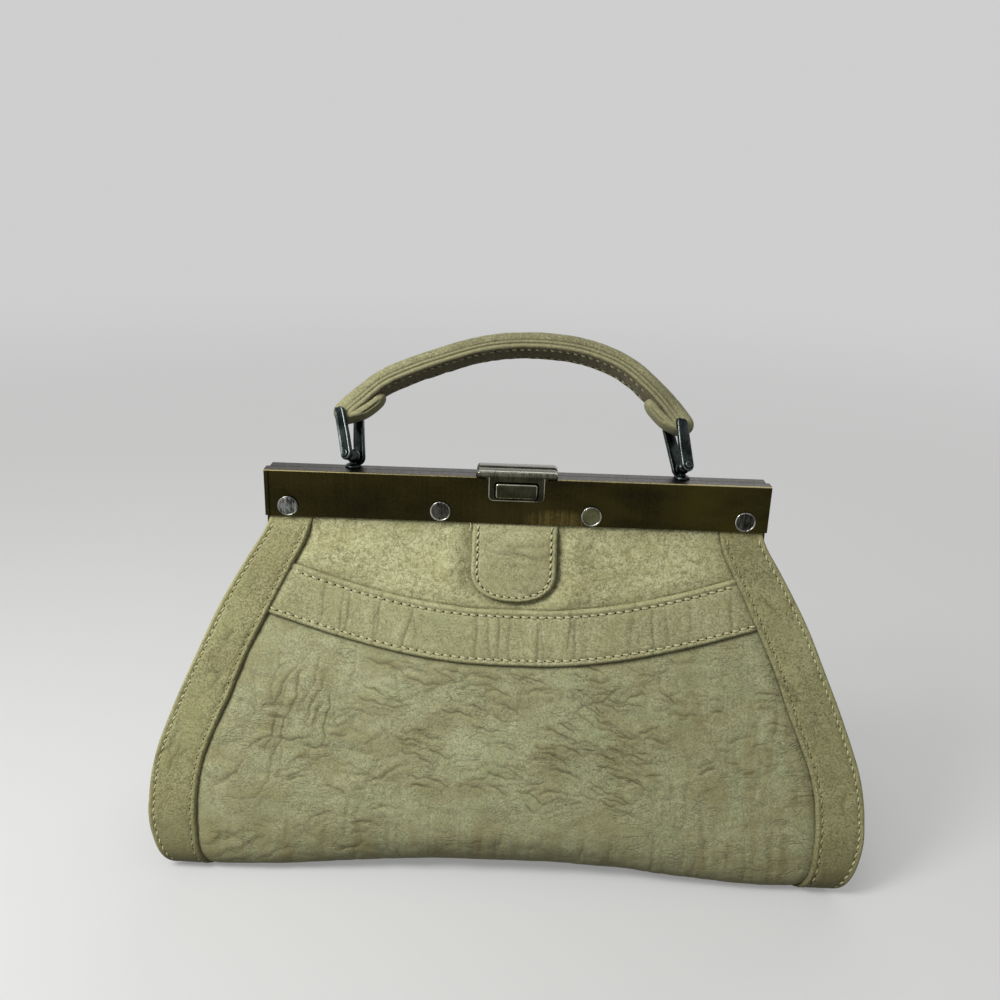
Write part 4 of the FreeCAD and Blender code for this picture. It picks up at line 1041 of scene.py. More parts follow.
def side_stitches(side, end, word, body):
    """A dull row along the inner edge of a side band, and a pale one along its outer edge."""
    drop = np.linspace(3.0, DROP_END - 11, 240)
    z = height_at(drop)
    slant = np.cos(np.arctan(np.gradient(INNER_EDGE(z), drop)))
    rows = ((f"{word}_inner_stitches", INNER_EDGE(z) + INNER_SEAM / slant, DULL_THREAD, 4.2, 0.5),
            (f"{word}_outer_stitches", outer_half(z) - OUTER_SEAM / slant, THREAD, 3.3, 0.62))
    made = []
    for name, x, colour, pitch, share in rows:
        relief = side_wrinkles(x * end, z)[0] * below_rail(drop)
        lift = (SIDE_LIFT * emerging(drop) + relief) * foot_fade(z) - 0.33 * emerging(drop)
        path, normals = wall_path(x * end, drop, lift, side)
        made.append(stitch_row(name, path, normals, body, pitch=pitch, share=share, colour=colour))
    return made


# Back, base, gussets and lining


def back_leather():
    """The back in one piece from the rail to the base, with its side bands."""
    back = centre_panel("back_leather", BACK, rail_edge, base_edge, unlifted, PANEL, panel_wrinkles, step=1.0)
    finish_piece(back, None, ["back_panel", "back_fold", "back_yoke"])
    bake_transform(back)
    for end, word in ENDS:
        band = side_band(f"back_side_leather_{word}", BACK, end, None, [f"back_side_band_{word}"])
        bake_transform(band)
        for row in side_stitches(BACK, end, f"back_{word}", None):
            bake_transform(row)


# The gusset: its ends, its sheet, and its columns from flange to flange.
GUSSET_START, GUSSET_TOP, GUSSET_SHEET = 112.0, 127.0, 1.2
GUSSET_COLUMNS, GUSSET_FLAT, GUSSET_INSET = 27, 0.92, 5.0
FLANGE_SHARE, FLANGE_INSET = np.array([1, 1, 0.995, 0.97]), np.array([0.4, 2.6, 4.0, 4.7])


def gusset(end, word):
    """The side: a strip round the lower corner and up the flank, folded inwards, with a flange at each edge."""
    corner = [(CORNER_HALF + CORNER_ROUND * math.sin(a), CORNER_ROUND - CORNER_ROUND * math.cos(a))
              for a in np.linspace(0, math.pi / 2, 22)]
    flank = [(float(outer_half(z)), z) for z in np.linspace(CORNER_ROUND + 2, GUSSET_TOP, 44)]
    line = np.array([(GUSSET_START, 0.0)] + corner + flank)
    inward = left_of(unit(np.gradient(line, axis=0)))
    height = np.maximum(line[:, 1], 0.0)
    half_deep = np.interp(height, END_WALL[::-1, 1], END_WALL[::-1, 0]) - LEATHER - 0.15
    middle = np.linspace(-GUSSET_FLAT, GUSSET_FLAT, GUSSET_COLUMNS)
    share = np.concatenate([-FLANGE_SHARE, middle, FLANGE_SHARE[::-1]])
    inset = np.concatenate([FLANGE_INSET, np.full(GUSSET_COLUMNS, GUSSET_INSET), FLANGE_INSET[::-1]])
    fold = np.clip(1 - np.abs(share) / GUSSET_FLAT, 0, 1) ** 1.15
    depth = 1.5 + 7.5 * smooth(line[:, 1], 20, 105)
    shift = inset[None, :] + depth[:, None] * fold[None, :]
    shift = np.minimum(shift, height[:, None] * 2.0 + 4.0)
    x = line[:, :1] + inward[:, :1] * shift
    z = np.maximum(line[:, 1:] + inward[:, 1:] * shift, 0.15)
    y = half_deep[:, None] * share[None, :]
    outer = np.stack([x * end, y, z], axis=-1)
    relief = 0.5 * field(y, z, 20, 26, 3.3 + end, 2) * np.clip(1 - np.abs(share) ** 8, 0, 1)
    normals = grid_normals(outer, (end, 0, 0))
    outer = outer + normals * relief[..., None]
    outer[..., 2] = np.maximum(outer[..., 2], 0.1)
    inner = outer - normals * GUSSET_SHEET
    inner[..., 2] = np.maximum(inner[..., 2], 0.1)
    # Painted shade down the middle fold of the gusset and in its small creases.
    crease_shade = 0.8 * bell(y, 1.6) * smooth(z, 15, 60) + 0.25 * crease_lines(y, z, 14, 10, 5.0, 0.06)[0]
    obj = shell(f"gusset_leather_{word}", outer, inner, SIDE, {"crease_shade": crease_shade, "rub_and_highlight": np.zeros_like(crease_shade)})
    finish_piece(obj, None, [f"gusset_{word}"])
    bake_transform(obj)


# Base panel, with creases from further along the panel's pattern, wall lining and the cloth on the board.
BASE_HALF, BASE_DEEP, BASE_SHEET, BASE_PATTERN = 119.0, 24.5, 2.2, 900.0
LINING_TOP, LINING_IN, LINING_SIDE, LINING_LOW, CLOTH = 4.0, 2.65, 9.0, 2.5, 0.35
FLOOR_CLOTH_HALF, FLOOR_CLOTH_DEEP, FLOOR_CLOTH_Z, FLOOR_CLOTH = 115.0, 25.0, 2.58, 0.3


def base_leather():
    """The base panel, a little hollow between its edges."""
    x, y = np.meshgrid(np.linspace(-BASE_HALF, BASE_HALF, 130), np.linspace(-BASE_DEEP, BASE_DEEP, 40))
    hollow = 0.8 * np.cos(x / BASE_HALF * np.pi / 2) * np.cos(y / BASE_DEEP * np.pi / 2)
    relief, crease_shade = panel_wrinkles(x + BASE_PATTERN, y)
    lower = np.stack([x, y, 0.02 + hollow + 0.12 * np.abs(relief)], axis=-1)
    upper = np.stack([x, y, np.full(x.shape, BASE_SHEET)], axis=-1)
    obj = shell("base_leather", lower, upper, PANEL, {"crease_shade": crease_shade * 0.5, "rub_and_highlight": np.zeros(x.shape)})
    finish_piece(obj, "bag", ["base_panel"])


def cloth_area(face):
    """Area in square metres of a grid of points in millimetres."""
    across, along = face[1:, 1:] - face[:-1, :-1], face[1:, :-1] - face[:-1, 1:]
    return float(np.linalg.norm(np.cross(across, along), axis=-1).sum() / 2 * MM ** 2)


def lining():
    """Cloth inside the walls: a front half tied to the bag, and a back half."""
    for side, word, wall in ((FRONT, "front", "front_panel_leather"), (BACK, "back", "back_leather")):
        drop = np.linspace(LINING_TOP, DROP_END, 60)[:, None]
        across = np.linspace(-1, 1, 70)[None, :] * (outer_half(height_at(drop)) - LINING_SIDE)
        drop = np.broadcast_to(drop, across.shape)
        height = height_at(drop)
        slack = 1.3 * bell(height - HINGE_Z, 14.0) if side == BACK else 0.0
        lift = -LINING_IN - slack + 0.25 * field(across, height, 22, 22, 1.4 * side, 2)
        face, rear = wall_point(across, drop, lift, side), wall_point(across, drop, lift + CLOTH, side)
        face[..., 2] = np.maximum(face[..., 2], LINING_LOW)
        rear[..., 2] = np.maximum(rear[..., 2], LINING_LOW - 0.25)
        obj = shell(f"{word}_lining_cloth", face, rear, LINING, {})
        if side == FRONT:
            finish_piece(obj, "bag", ["lining"])
        else:
            finish_piece(obj, None)
            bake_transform(obj)
        cloth_area(face)
    x, y = np.meshgrid(np.linspace(-FLOOR_CLOTH_HALF, FLOOR_CLOTH_HALF, 40),
                       np.linspace(-FLOOR_CLOTH_DEEP, FLOOR_CLOTH_DEEP, 12))
    face = np.stack([x, y, np.full(x.shape, FLOOR_CLOTH_Z)], axis=-1)
    floor_cloth = shell("floor_lining_cloth", face, face - np.array([0, 0, FLOOR_CLOTH]), LINING, {})
    finish_piece(floor_cloth, "bag")


# Metal

def turned_shape(rows, sides=40):
    """Points and faces of a profile (radius, height) turned about an upright axis."""
    loops = [[(radius * math.cos(turn), radius * math.sin(turn), rise) for turn in turns_of(sides)]
             for radius, rise in rows]
    return stacked(loops, close_first=True)


METAL_WELD = 0.0005


def gathered(name, parts, material):
    """One mesh from several (points, faces) or (points, faces, shares of wear and painted highlight)."""
    points, faces, rub_and_highlight = [], [], []
    for part in parts:
        joined(points, faces, part)
        rub_and_highlight += list(part[2]) if len(part) > 2 else [0.0] * len(part[0])
    return weld(mesh_piece(name, points, faces, [material], marks={"rub_and_highlight": rub_and_highlight}), METAL_WELD)


def rubbed_and_highlit(part, count, edges):
    """A stack of loops with some of the loops lighter: worn, and a painted highlight."""
    points, faces = part
    rub_and_highlight = np.zeros(len(points))
    for loop in edges:
        rub_and_highlight[loop * count:(loop + 1) * count] = 1.0
    return points, faces, rub_and_highlight


RIVET_PLACES = tuple(RAIL_WIDTH * share for share in (-0.454, -0.15, 0.15, 0.454))
# Which finish each rivet's face has, and the profiles of a rivet.
RIVET_LOOKS = (2, 1, 3, 1)
RIVET_FACE = ((0.2, 0.98), (1.5, 0.97), (2.8, 0.92), (3.45, 0.82), (3.55, 0.7))
RIVET_RIM = ((3.62, 0.95), (3.75, 1.1), (3.95, 1.12), (4.12, 0.98), (4.2, 0.7), (4.22, 0.35),
             (4.25, -0.05))
RIVET_TAIL = ((1.5, -5.0), (2.4, -4.55), (2.4, -4.0), (1.5, -3.95))
RIVET_Z = RAIL_BOTTOM + 4.6
RAIL_FACE = 5.55


def rivets(side, word, body):
    """Rivets: each has a flat worn face inside a thin bright rim, and a tail."""
    points, faces, kinds = [], [], []
    for place, look in zip(RIVET_PLACES, RIVET_LOOKS):
        for profile in (RIVET_FACE + RIVET_RIM, RIVET_TAIL):
            turned, made = turned_shape(profile)
            x, y, z = turned[:, 0] + place, side * (turned[:, 2] + RAIL_FACE), turned[:, 1] + RIVET_Z
            joined(points, faces, (np.stack([x, y, z], axis=1), made))
            worn = (np.hypot(turned[:, 0], turned[:, 1]) < RIVET_FACE[-1][0] + SLIVER) & (turned[:, 2] > 0)
            kinds += [look if worn[list(face)].all() else 0 for face in made]
    looks = [NICKEL, RIVET_DARK, RIVET_SILVER, RIVET_OLIVE]
    obj = weld(mesh_piece(f"{word}_rivet_heads", points, faces, looks, kinds), METAL_WELD)
    finish_piece(obj, body, [f"{word}_rivets"])


def rounded_outline(half_width, low, high, radii, inset=0.0, count=8):
    """A rounded rectangle (x, z), anticlockwise from the lower right, with its four corner radii, brought in."""
    half_width, low, high = half_width - inset, low + inset, high - inset
    spots = ((half_width, low, -90), (half_width, high, 0), (-half_width, high, 90), (-half_width, low, 180))
    rows = []
    for (x, z, start), radius in zip(spots, radii):
        radius = max(radius - inset, 0.12)
        centre = (x - math.copysign(radius, x), z + (radius if z == low else -radius))
        for angle in np.radians(np.linspace(start, start + 90, count)):
            rows.append((centre[0] + radius * math.cos(angle), centre[1] + radius * math.sin(angle)))
    return np.array(rows)


def inset_loop(loop, distance):
    """A loop (N, 2) moved inwards along its own corners."""
    ahead, behind = np.roll(loop, -1, axis=0) - loop, loop - np.roll(loop, 1, axis=0)
    return loop + distance * left_of(unit(unit(ahead) + unit(behind)))


def facing(loop, y):
    """A loop (x, z) as points at a depth."""
    return np.stack([loop[:, 0], np.full(len(loop), float(y)), loop[:, 1]], axis=1)


BUTTON_Z = RAIL_TOP - 5.0
# Lock plate, its window for the button, the webs under its cap, and the cap. Rims are rows of inset and depth.
PLATE_HALF, PLATE_LOW, PLATE_HIGH, PLATE_ROUND = 11.4, 155.5, 166.2, (2.2, 0.4, 0.4, 2.2)
PLATE_RIM = ((0.0, 5.56), (0.0, 6.6), (0.1, 6.85), (0.3, 7.0), (0.55, 7.03), (0.8, 6.98), (1.1, 6.86))
WINDOW_HALF, WINDOW_RISE, WINDOW_ROUND = 8.7, 3.4, (1.1, 1.1, 1.1, 1.1)
WINDOW_LIP = ((-0.35, 6.84), (-0.15, 6.78), (0.0, 6.6), (0.0, 4.6))
FILLET, WEB_IN, WEB_TOP, WEB_RIM = 2.6, 10.6, RAIL_TOP + 1.6, ((0.0, 5.6), (0.0, 6.5), (-0.3, 6.8))
CAP_HALF, CAP_LOW, CAP_HIGH = 16.4, RAIL_TOP + 0.05, RAIL_TOP + 3.0
# The cap: how square its section is, the straight share of its length, places along it, its depth on each rail.
CAP_SQUARE, CAP_STRAIGHT, CAP_CLOSING = 0.45, 0.9, 0.1
CAP_ENDS, CAP_MIDDLE = np.array([0.9, 0.93, 0.96, 0.985, 0.998, 1]), np.linspace(-0.85, 0.85, 12)
FRONT_CAP, BACK_CAP = (-7.1, -0.15), (0.15, 5.9)


def lock_plate():
    """The plate round the button, its half of the cap, and a web with a fillet on either side under the cap."""
    loops = [facing(rounded_outline(PLATE_HALF, PLATE_LOW, PLATE_HIGH, PLATE_ROUND, inset), -depth)
             for inset, depth in PLATE_RIM]
    low, high = BUTTON_Z - WINDOW_RISE, BUTTON_Z + WINDOW_RISE
    loops += [facing(rounded_outline(WINDOW_HALF, low, high, WINDOW_ROUND, inset), -depth)
              for inset, depth in WINDOW_LIP]
    # The crest of the plate's rim carries a painted highlight.
    parts = [rubbed_and_highlit(stacked(loops + loops[:1], close_last=False), len(loops[0]), (3,))]
    parts.append(cap_bar(*FRONT_CAP, lip=True))
    for end in (-1, 1):
        turn = np.linspace(0, math.pi / 2, 7)
        fillet = [(PLATE_HALF + FILLET - FILLET * math.sin(a), RAIL_TOP + 0.4 - FILLET + FILLET * math.cos(a))
                  for a in turn]
        top = [(WEB_IN, WEB_TOP), (PLATE_HALF + FILLET, WEB_TOP)]
        web = np.array(top + fillet + [(WEB_IN, RAIL_TOP - FILLET)])
        web[:, 0] *= end
        web = web if end > 0 else web[::-1]
        loops = [facing(inset_loop(web, inset), -depth) for inset, depth in WEB_RIM]
        parts.append(stacked(loops, close_first=True))
    obj = gathered("lock_plate_metal", parts, GUNMETAL)
    finish_piece(obj, "bag", ["lock_plate"])


def squarer(value, power):
    """A sine or cosine bent towards its ends, which makes a round section squarer."""
    return math.copysign(abs(value) ** power, value)


def cap_bar(front, back, lip):
    """A rounded bar along the top of a rail, with rounded ends; the front one has a raised lip with a painted
    highlight along it.
    """
    middle, deep = (front + back) / 2, (back - front) / 2
    height, rise = (CAP_LOW + CAP_HIGH) / 2, (CAP_HIGH - CAP_LOW) / 2
    section, rub_and_highlight = [], []
    for angle in turns_of(48):
        c, s = math.cos(angle), math.sin(angle)
        y, z = deep * squarer(c, CAP_SQUARE), rise * squarer(s, CAP_SQUARE)
        place = (y + deep) / (2 * deep)
        if lip and s > 0:
            z -= 0.9 * math.exp(-((place - 0.4) / 0.12) ** 2) + 0.5 * max(0.0, place - 0.5)
        section.append((y, z))
        # A painted highlight along the front of the lip.
        rub_and_highlight.append(0.9 * math.exp(-((place - 0.14) / 0.12) ** 2) if lip and s > 0 else 0.0)
    section = np.array(section)
    loops = []
    for place in np.concatenate([-CAP_ENDS[::-1], CAP_MIDDLE, CAP_ENDS]):
        end = max(0.0, (abs(place) - CAP_STRAIGHT) / CAP_CLOSING)
        shrink = math.sqrt(max(0.0, 1 - end ** 2)) * 0.75 + 0.25
        loop = np.stack([np.full(len(section), place * CAP_HALF), middle + section[:, 0] * (0.6 + 0.4 * shrink),
                         height + section[:, 1] * shrink - rise * (1 - shrink) * 0.5], axis=1)
        loops.append(loop)
    return *stacked(loops, close_first=True), rub_and_highlight * len(loops)


def clasp_cap():
    """The other half of the cap, on the back rail."""
    bar = cap_bar(*BACK_CAP, lip=False)
    finish_piece(gathered("clasp_cap_metal", [bar], GUNMETAL), "back_frame", ["clasp_cap"])


BUTTON_HALF, BUTTON_RISE, BUTTON_ROUND = 8.4, 3.1, (1.0, 1.0, 1.0, 1.0)
BUTTON_RIM = ((0.0, 4.4), (0.0, 7.2), (0.1, 7.45), (0.28, 7.6), (0.55, 7.72), (0.85, 7.95), (1.05, 8.06),
              (1.3, 8.1), (2.4, 8.1))
FLANGE_HALF, FLANGE_ROUND = 9.3, (0.3, 0.3, 0.3, 0.3)


def push_button():
    """The button with a raised middle, and a flange that keeps it behind the plate."""
    low, high = BUTTON_Z - BUTTON_RISE, BUTTON_Z + BUTTON_RISE
    loops = [facing(rounded_outline(BUTTON_HALF, low, high, BUTTON_ROUND, inset), -depth)
             for inset, depth in BUTTON_RIM]
    flange = rounded_outline(FLANGE_HALF, low, high, FLANGE_ROUND)
    flange_loops = [facing(flange, -4.4), facing(flange, -3.6)]
    # The rounded edge of the button's rim carries a painted highlight.
    parts = [rubbed_and_highlit(stacked(loops, close_first=True), len(flange), (3,)), stacked(flange_loops, close_first=True)]
    finish_piece(gathered("push_button_metal", parts, GUNMETAL), "button", ["push_button"])


SPRING_HALF, SPRING_SHEET, SPRING_ROUND, SPRING_EDGE = 4.0, 0.5, 0.6, 0.12
SPRING_LINE = ((-4.4, 155.3), (-3.3, 155.3), (-3.3, 161.95), (2.75, 161.95), (2.75, 163.3))


def rounded_line(corners, radius, count=6):
    """A line of points (y, z) through corners, with each inner corner rounded."""
    corners = np.array(corners)
    rows = [corners[0]]
    for before, corner, after in zip(corners, corners[1:], corners[2:]):
        into = (corner - before) / np.linalg.norm(corner - before)
        out = (after - corner) / np.linalg.norm(after - corner)
        for share in np.linspace(0, 1, count):
            start, end = corner - into * radius, corner + out * radius
            rows.append((1 - share) ** 2 * start + 2 * share * (1 - share) * corner + share ** 2 * end)
    return np.array(rows + [corners[-1]])


def latch_spring():
    """A bent strip of spring steel behind the button, with a foot and a hook."""
    line = rounded_line(SPRING_LINE, SPRING_ROUND)
    aside = left_of(unit(np.gradient(line, axis=0))) * SPRING_SHEET / 2
    loops = []
    flat = SPRING_HALF - SPRING_EDGE
    for reach, sheet in ((-SPRING_HALF, 0.6), (-flat, 1.0), (flat, 1.0), (SPRING_HALF, 0.6)):
        ring = np.vstack([line + aside * sheet, (line - aside * sheet)[::-1]])
        loops.append(np.column_stack([np.full(len(ring), reach), ring]))
    points, faces = stacked(loops, close_last=False)
    half, count = len(line), 2 * len(line)
    for first in (0, 3 * count):
        faces += [(first + k, first + k + 1, first + count - 2 - k, first + count - 1 - k) for k in range(half - 1)]
    obj = mesh_piece("latch_spring_steel", points, faces, [STEEL])
    finish_piece(weld(obj, METAL_WELD), None, ["latch_spring"])
    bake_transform(obj)


# Handle. Its own frame is across, s up the leaning plane and n towards the front, from the ball centres.

# It leans back, its links hug the balls of the posts, its ends hang aside, and each link is turned by some degrees.
LEAN = math.radians(35.0)
POST_X, BALL_Y, BALL_Z = 67.0, 2.85, 169.4
SWAY, SWAY_HEIGHT = -3.3, 19.5
LINK_TURN = {-1: 35.0, 1: 20.0}


def leaning(points):
    """Points of the handle's own frame, in the part's frame."""
    points = np.asarray(points, float)
    x, s, n = points[..., 0], points[..., 1], points[..., 2]
    y = BALL_Y + s * math.sin(LEAN) - n * math.cos(LEAN)
    z = BALL_Z + s * math.cos(LEAN) + n * math.sin(LEAN)
    return np.stack([x, y, z], axis=-1)


def splined(points, count):
    """Points on a smooth line through a few points, and their places along it."""
    length = way_along(points)
    across, rise = spline(list(zip(length, points[:, 0]))), spline(list(zip(length, points[:, 1])))
    places = np.linspace(0, length[-1], count)
    return places, np.stack([across(places), rise(places)], axis=1)


HANDLE_LINE = np.array([(-74.3, 14.7), (-71.8, 19.0), (-64.3, 26.5), (-57.1, 32.6), (-46.2, 38.5), (-32.5, 44.1),
                        (-14.6, 50.0), (10.9, 52.0), (27.1, 49.8), (44.1, 42.6), (55.2, 32.7), (63.6, 23.4),
                        (67.0, 18.6), (69.3, 14.4)])


def handle_line(count):
    """Even points along the middle of the handle, with their directions in its plane."""
    dense = splined(HANDLE_LINE, 1200)[1]
    along = way_along(dense)
    even = np.linspace(0, along[-1], count)
    line = at_way(even, along, dense)
    return even, line, unit(np.gradient(line, axis=0))


# Below the strip line is the flat strip. Welts lie in the grooves at each side, and the ends close round.
STRIP_LINE, WELTS, WELT_OUT, WELT_RIDGES = -3.7, (0.35, 1.95, 3.8), 5.3, ((1.15, 0.4), (2.9, 0.5))
END_ROUND, END_NARROW = 4.7, 0.71
# Half of the handle's section, from the middle of its top to that of its underside: towards the front, outwards.
HANDLE_SECTION = ((0.0, 4.6), (1.7, 4.5), (3.2, 4.05), (4.4, 3.3), (5.15, 2.4), (5.5, 1.4), (5.6, 0.5),
                  (5.5, -0.15), (5.4, -0.35), (5.65, -0.6), (5.95, -0.95), (5.95, -1.4), (5.7, -1.75),
                  (5.45, -1.95), (5.7, -2.2), (6.0, -2.65), (6.0, -3.2), (5.8, -3.6), (5.65, -3.8),
                  (5.6, -4.05), (5.2, -4.2), (4.3, -4.25), (3.4, -4.3), (2.0, -4.35), (0.0, -4.4))


def handle_cover():
    """The padded cover with its two welts at each side, and the flat strip under it."""
    half = np.array(HANDLE_SECTION)
    section = np.vstack([half, half[-2:0:-1] * (-1, 1)])
    columns = len(section)
    even, line, ahead = handle_line(260)
    outward = left_of(ahead)
    groove = sum(bell(section[:, 1] + at, 0.28) for at in WELTS) * (np.abs(section[:, 0]) > WELT_OUT)
    ridge = sum(bell(section[:, 1] + at, width) for at, width in WELT_RIDGES)
    rows, creases, rubs_and_highlights = [], [], []
    for k, place in enumerate(even):
        near_end = min(place, even[-1] - place)
        close = math.sqrt(max(0.004, 1 - max(0.0, 1 - near_end / END_ROUND) ** 2))
        narrow = (END_NARROW + (1 - END_NARROW) * smooth(near_end, 8, 24)) * (0.25 + 0.75 * close)
        swell = 1 + 0.02 * noise.noise(Vector((place / 9.0, 4.0, 1.0)))
        wave = np.array([noise.noise(Vector((place / 4.0, c / 3.0, 9.0))) for c in range(columns)])
        n = section[:, 0] * narrow * swell
        r = section[:, 1] * close * swell + wave * np.where(section[:, 1] < STRIP_LINE - 0.1, 0.3, 0.12) * close
        rows.append(leaning(np.column_stack([line[k] + outward[k] * r[:, None], n])))
        # Painted shade in the grooves beside the welts.
        creases.append(0.75 * groove * close)
        # Painted highlight along the welts' ridges, and lighter towards the ends.
        rubs_and_highlights.append(np.maximum(0.8 * ridge, 0.7 * (1 - smooth(near_end, 6, 16))))
    points, faces = stacked(rows, close_first=True)
    low = section[:, 1] < STRIP_LINE
    strip = {c for c in range(columns) if low[c] and low[(c + 1) % columns]}
    kinds = [1 if (i < (len(rows) - 1) * columns and i % columns in strip) else 0 for i in range(len(faces))]
    marks = {"crease_shade": np.array(creases).ravel(), "rub_and_highlight": np.array(rubs_and_highlights).ravel()}
    obj = mesh_piece("handle_leather", points, faces, [HANDLE, UNDERLAY], kinds, marks)
    finish_piece(obj, "handle", ["handle_cover", "handle_core", "handle_underlay"])


# Stitches of the strip: from its middle line, below the handle's line, and from the ends.
STRIP_STITCH_N, STRIP_STITCH_R, STRIP_STITCH_END = 3.9, 4.25, 24


def handle_stitches():
    """A row of stitches along each edge of the strip under the handle."""
    even, line, ahead = handle_line(220)
    outward = left_of(ahead)
    keep = (even > STRIP_STITCH_END) & (even < even[-1] - STRIP_STITCH_END)
    for word, n in (("front", STRIP_STITCH_N), ("back", -STRIP_STITCH_N)):
        points, above = (leaning(np.column_stack([line - outward * r, np.full(len(line), n)])[keep])
                         for r in (STRIP_STITCH_R, STRIP_STITCH_R + 1.0))
        stitch_row(f"handle_{word}_stitches", points, above - points, "handle", pitch=3.2, colour=DULL_THREAD)


# The tongue's way from the handle's end, along it and out from it.
LOOP_PATH = ((2.2, -1.6), (4.6, -3.6), (8.5, -5.2), (13.0, -5.9), (17.5, -5.8), (20.5, -5.4), (22.5, -5.0))
LOOP_HALF, LOOP_TIP, SLIT_TURN = 4.2, 4.5, 2 * np.pi - 0.55


def handle_loop(end, word):
    """The end of the leather, turned round the link's bar and lying back under the handle as a thick tongue."""
    even, line, ahead = handle_line(400)
    if end > 0:
        line, ahead = line[::-1], -ahead[::-1]
    outward = left_of(ahead) * -end
    steps = [int(reach / even[1]) for reach, _ in LOOP_PATH]
    path = np.array([line[k] + outward[k] * rise for k, (_, rise) in zip(steps, LOOP_PATH)])
    places, middle = splined(path, 60)
    normal = left_of(unit(np.gradient(middle, axis=0))) * -end
    loops, creases = [], []
    for place, spot, up in zip(places, middle, normal):
        tip = math.sqrt(max(0.0, 1 - max(0.0, (place - places[-1] + LOOP_TIP) / LOOP_TIP) ** 2))
        half = LOOP_HALF * (0.3 + 0.7 * tip)
        thick = (1.5 + 0.7 * smooth(place, 2, 10)) * (0.3 + 0.7 * tip)
        slit = smooth(place, 7, 9) * smooth(place, 17, 14)
        loop = []
        for angle in turns_of(40):
            c, s = math.cos(angle), math.sin(angle)
            cut = slit * bell(angle - SLIT_TURN, 0.16)
            n = half * squarer(c, 0.6) * (1 - 0.2 * cut)
            r = thick * squarer(s, 0.7) * (1 - 0.3 * cut)
            loop.append((spot[0] + up[0] * r, spot[1] + up[1] * r, n))
            # Painted shade in the slit and towards one face of the tongue.
            creases.append(max(cut, 0.7 * max(0.0, s) ** 3))
        loops.append(leaning(loop))
    points, faces = stacked(loops, close_first=True)
    marks = {"crease_shade": np.array(creases), "rub_and_highlight": np.full(len(points), 0.6)}
    obj = mesh_piece(f"handle_loop_leather_{word}", points, faces, [HANDLE], marks=marks)
    finish_piece(weld(obj), "handle", [f"handle_loop_{word}"])


# Link: its legs, the flute along each leg as rows of inset and height, the studs and the bar.
LEG_NEAR, LEG_SPREAD, LEG_THICK, LEG_FOOT, LEG_TOP, BAR_HEIGHT = 2.95, 1.9, 1.9, 2.65, 19.2, 17.6
LEG_FLUTE = ((0.3, 0.0), (0.05, 0.12), (0.0, 0.3), (0.0, LEG_THICK - 0.5), (0.18, LEG_THICK - 0.15),
             (0.48, LEG_THICK), (0.8, LEG_THICK), (1.0, LEG_THICK - 0.25), (1.25, LEG_THICK - 0.3))
STUD_HEAD = ((1.0, -1.3), (1.0, -0.05), (1.42, 0.0), (1.5, 0.2), (1.4, 0.45), (1.1, 0.6), (0.8, 0.62), (0.6, 0.48),
             (0.3, 0.45))
BAR_DEEP, BAR_THICK = 1.25, 0.9


def leg_outline():
    """A leg of the link, seen from its flat side: a round foot, straight flanks and a blunt top."""
    foot = [(LEG_FOOT * math.sin(a), -LEG_FOOT * math.cos(a)) for a in np.linspace(-math.pi / 2, math.pi / 2, 14)]
    flank = [(LEG_FOOT, 8.0), (2.45, LEG_TOP - 1.8), (2.1, LEG_TOP - 0.6), (1.4, LEG_TOP)]
    return np.array(foot + flank + [(-x, z) for x, z in reversed(flank)])


def link_frame(end):
    """Turns a link's own points (m, n, w) into the part's frame; the handle hangs a little to one side."""
    twist = math.radians(LINK_TURN[end]) * end

    def place(points):
        points = np.asarray(points, float)
        m, n, w = points[:, 0], points[:, 1], points[:, 2]
        x = m * math.cos(twist) - n * math.sin(twist)
        deep = m * math.sin(twist) + n * math.cos(twist)
        return leaning(np.stack([POST_X * end + x + SWAY * np.maximum(w, 0) / SWAY_HEIGHT, w, -deep], axis=1))
    return place


def link(end, word):
    """A stirrup of two fluted legs and a bar, with a stud through the foot of each leg."""
    place = link_frame(end)
    parts, studs = [], []
    outline = leg_outline()
    for leg in (-1, 1):
        loops = []
        for inset, height in LEG_FLUTE:
            loop = inset_loop(outline, inset)
            bend = LEG_SPREAD * np.clip((loop[:, 1] - LEG_FOOT) / (BAR_HEIGHT - LEG_FOOT), 0, 1.05)
            loops.append(np.stack([loop[:, 0], leg * (LEG_NEAR + bend + height), loop[:, 1]], axis=1))
        # The flute's edge carries a painted highlight, and so does the crown of the stud below.
        points, faces, rub_and_highlight = rubbed_and_highlit(stacked(loops, close_first=True), len(outline), (4, 5))
        parts.append((place(points), faces, rub_and_highlight))
        points, faces, rub_and_highlight = rubbed_and_highlit(turned_shape(STUD_HEAD, 24), 24, (4, 5))
        outside = leg * (LEG_NEAR + LEG_THICK + points[:, 2] - 0.05)
        studs.append((place(np.stack([points[:, 0], outside, points[:, 1]], axis=1)), faces, rub_and_highlight))
    reach = LEG_NEAR + LEG_SPREAD + 0.4
    loops = [[(BAR_DEEP * math.cos(a), n, BAR_HEIGHT + BAR_THICK * math.sin(a)) for a in turns_of(16)]
             for n in np.linspace(-reach, reach, 9)]
    points, faces = stacked(loops, close_first=True)
    parts.append((place(points), faces))
    finish_piece(gathered(f"link_metal_{word}", parts, LINK_METAL), "handle", [f"link_{word}"])
    obj = gathered(f"link_stud_metal_{word}", studs, LINK_METAL)
    finish_piece(obj, "handle", ["link_studs"] if end > 0 else ())


BALL_RADIUS = 2.8
POST_COLLAR = ((0.9, 163.9), (0.9, 165.0), (3.2, 165.02), (3.3, 165.35), (3.1, 165.8), (2.3, 166.2), (1.5, 166.6))


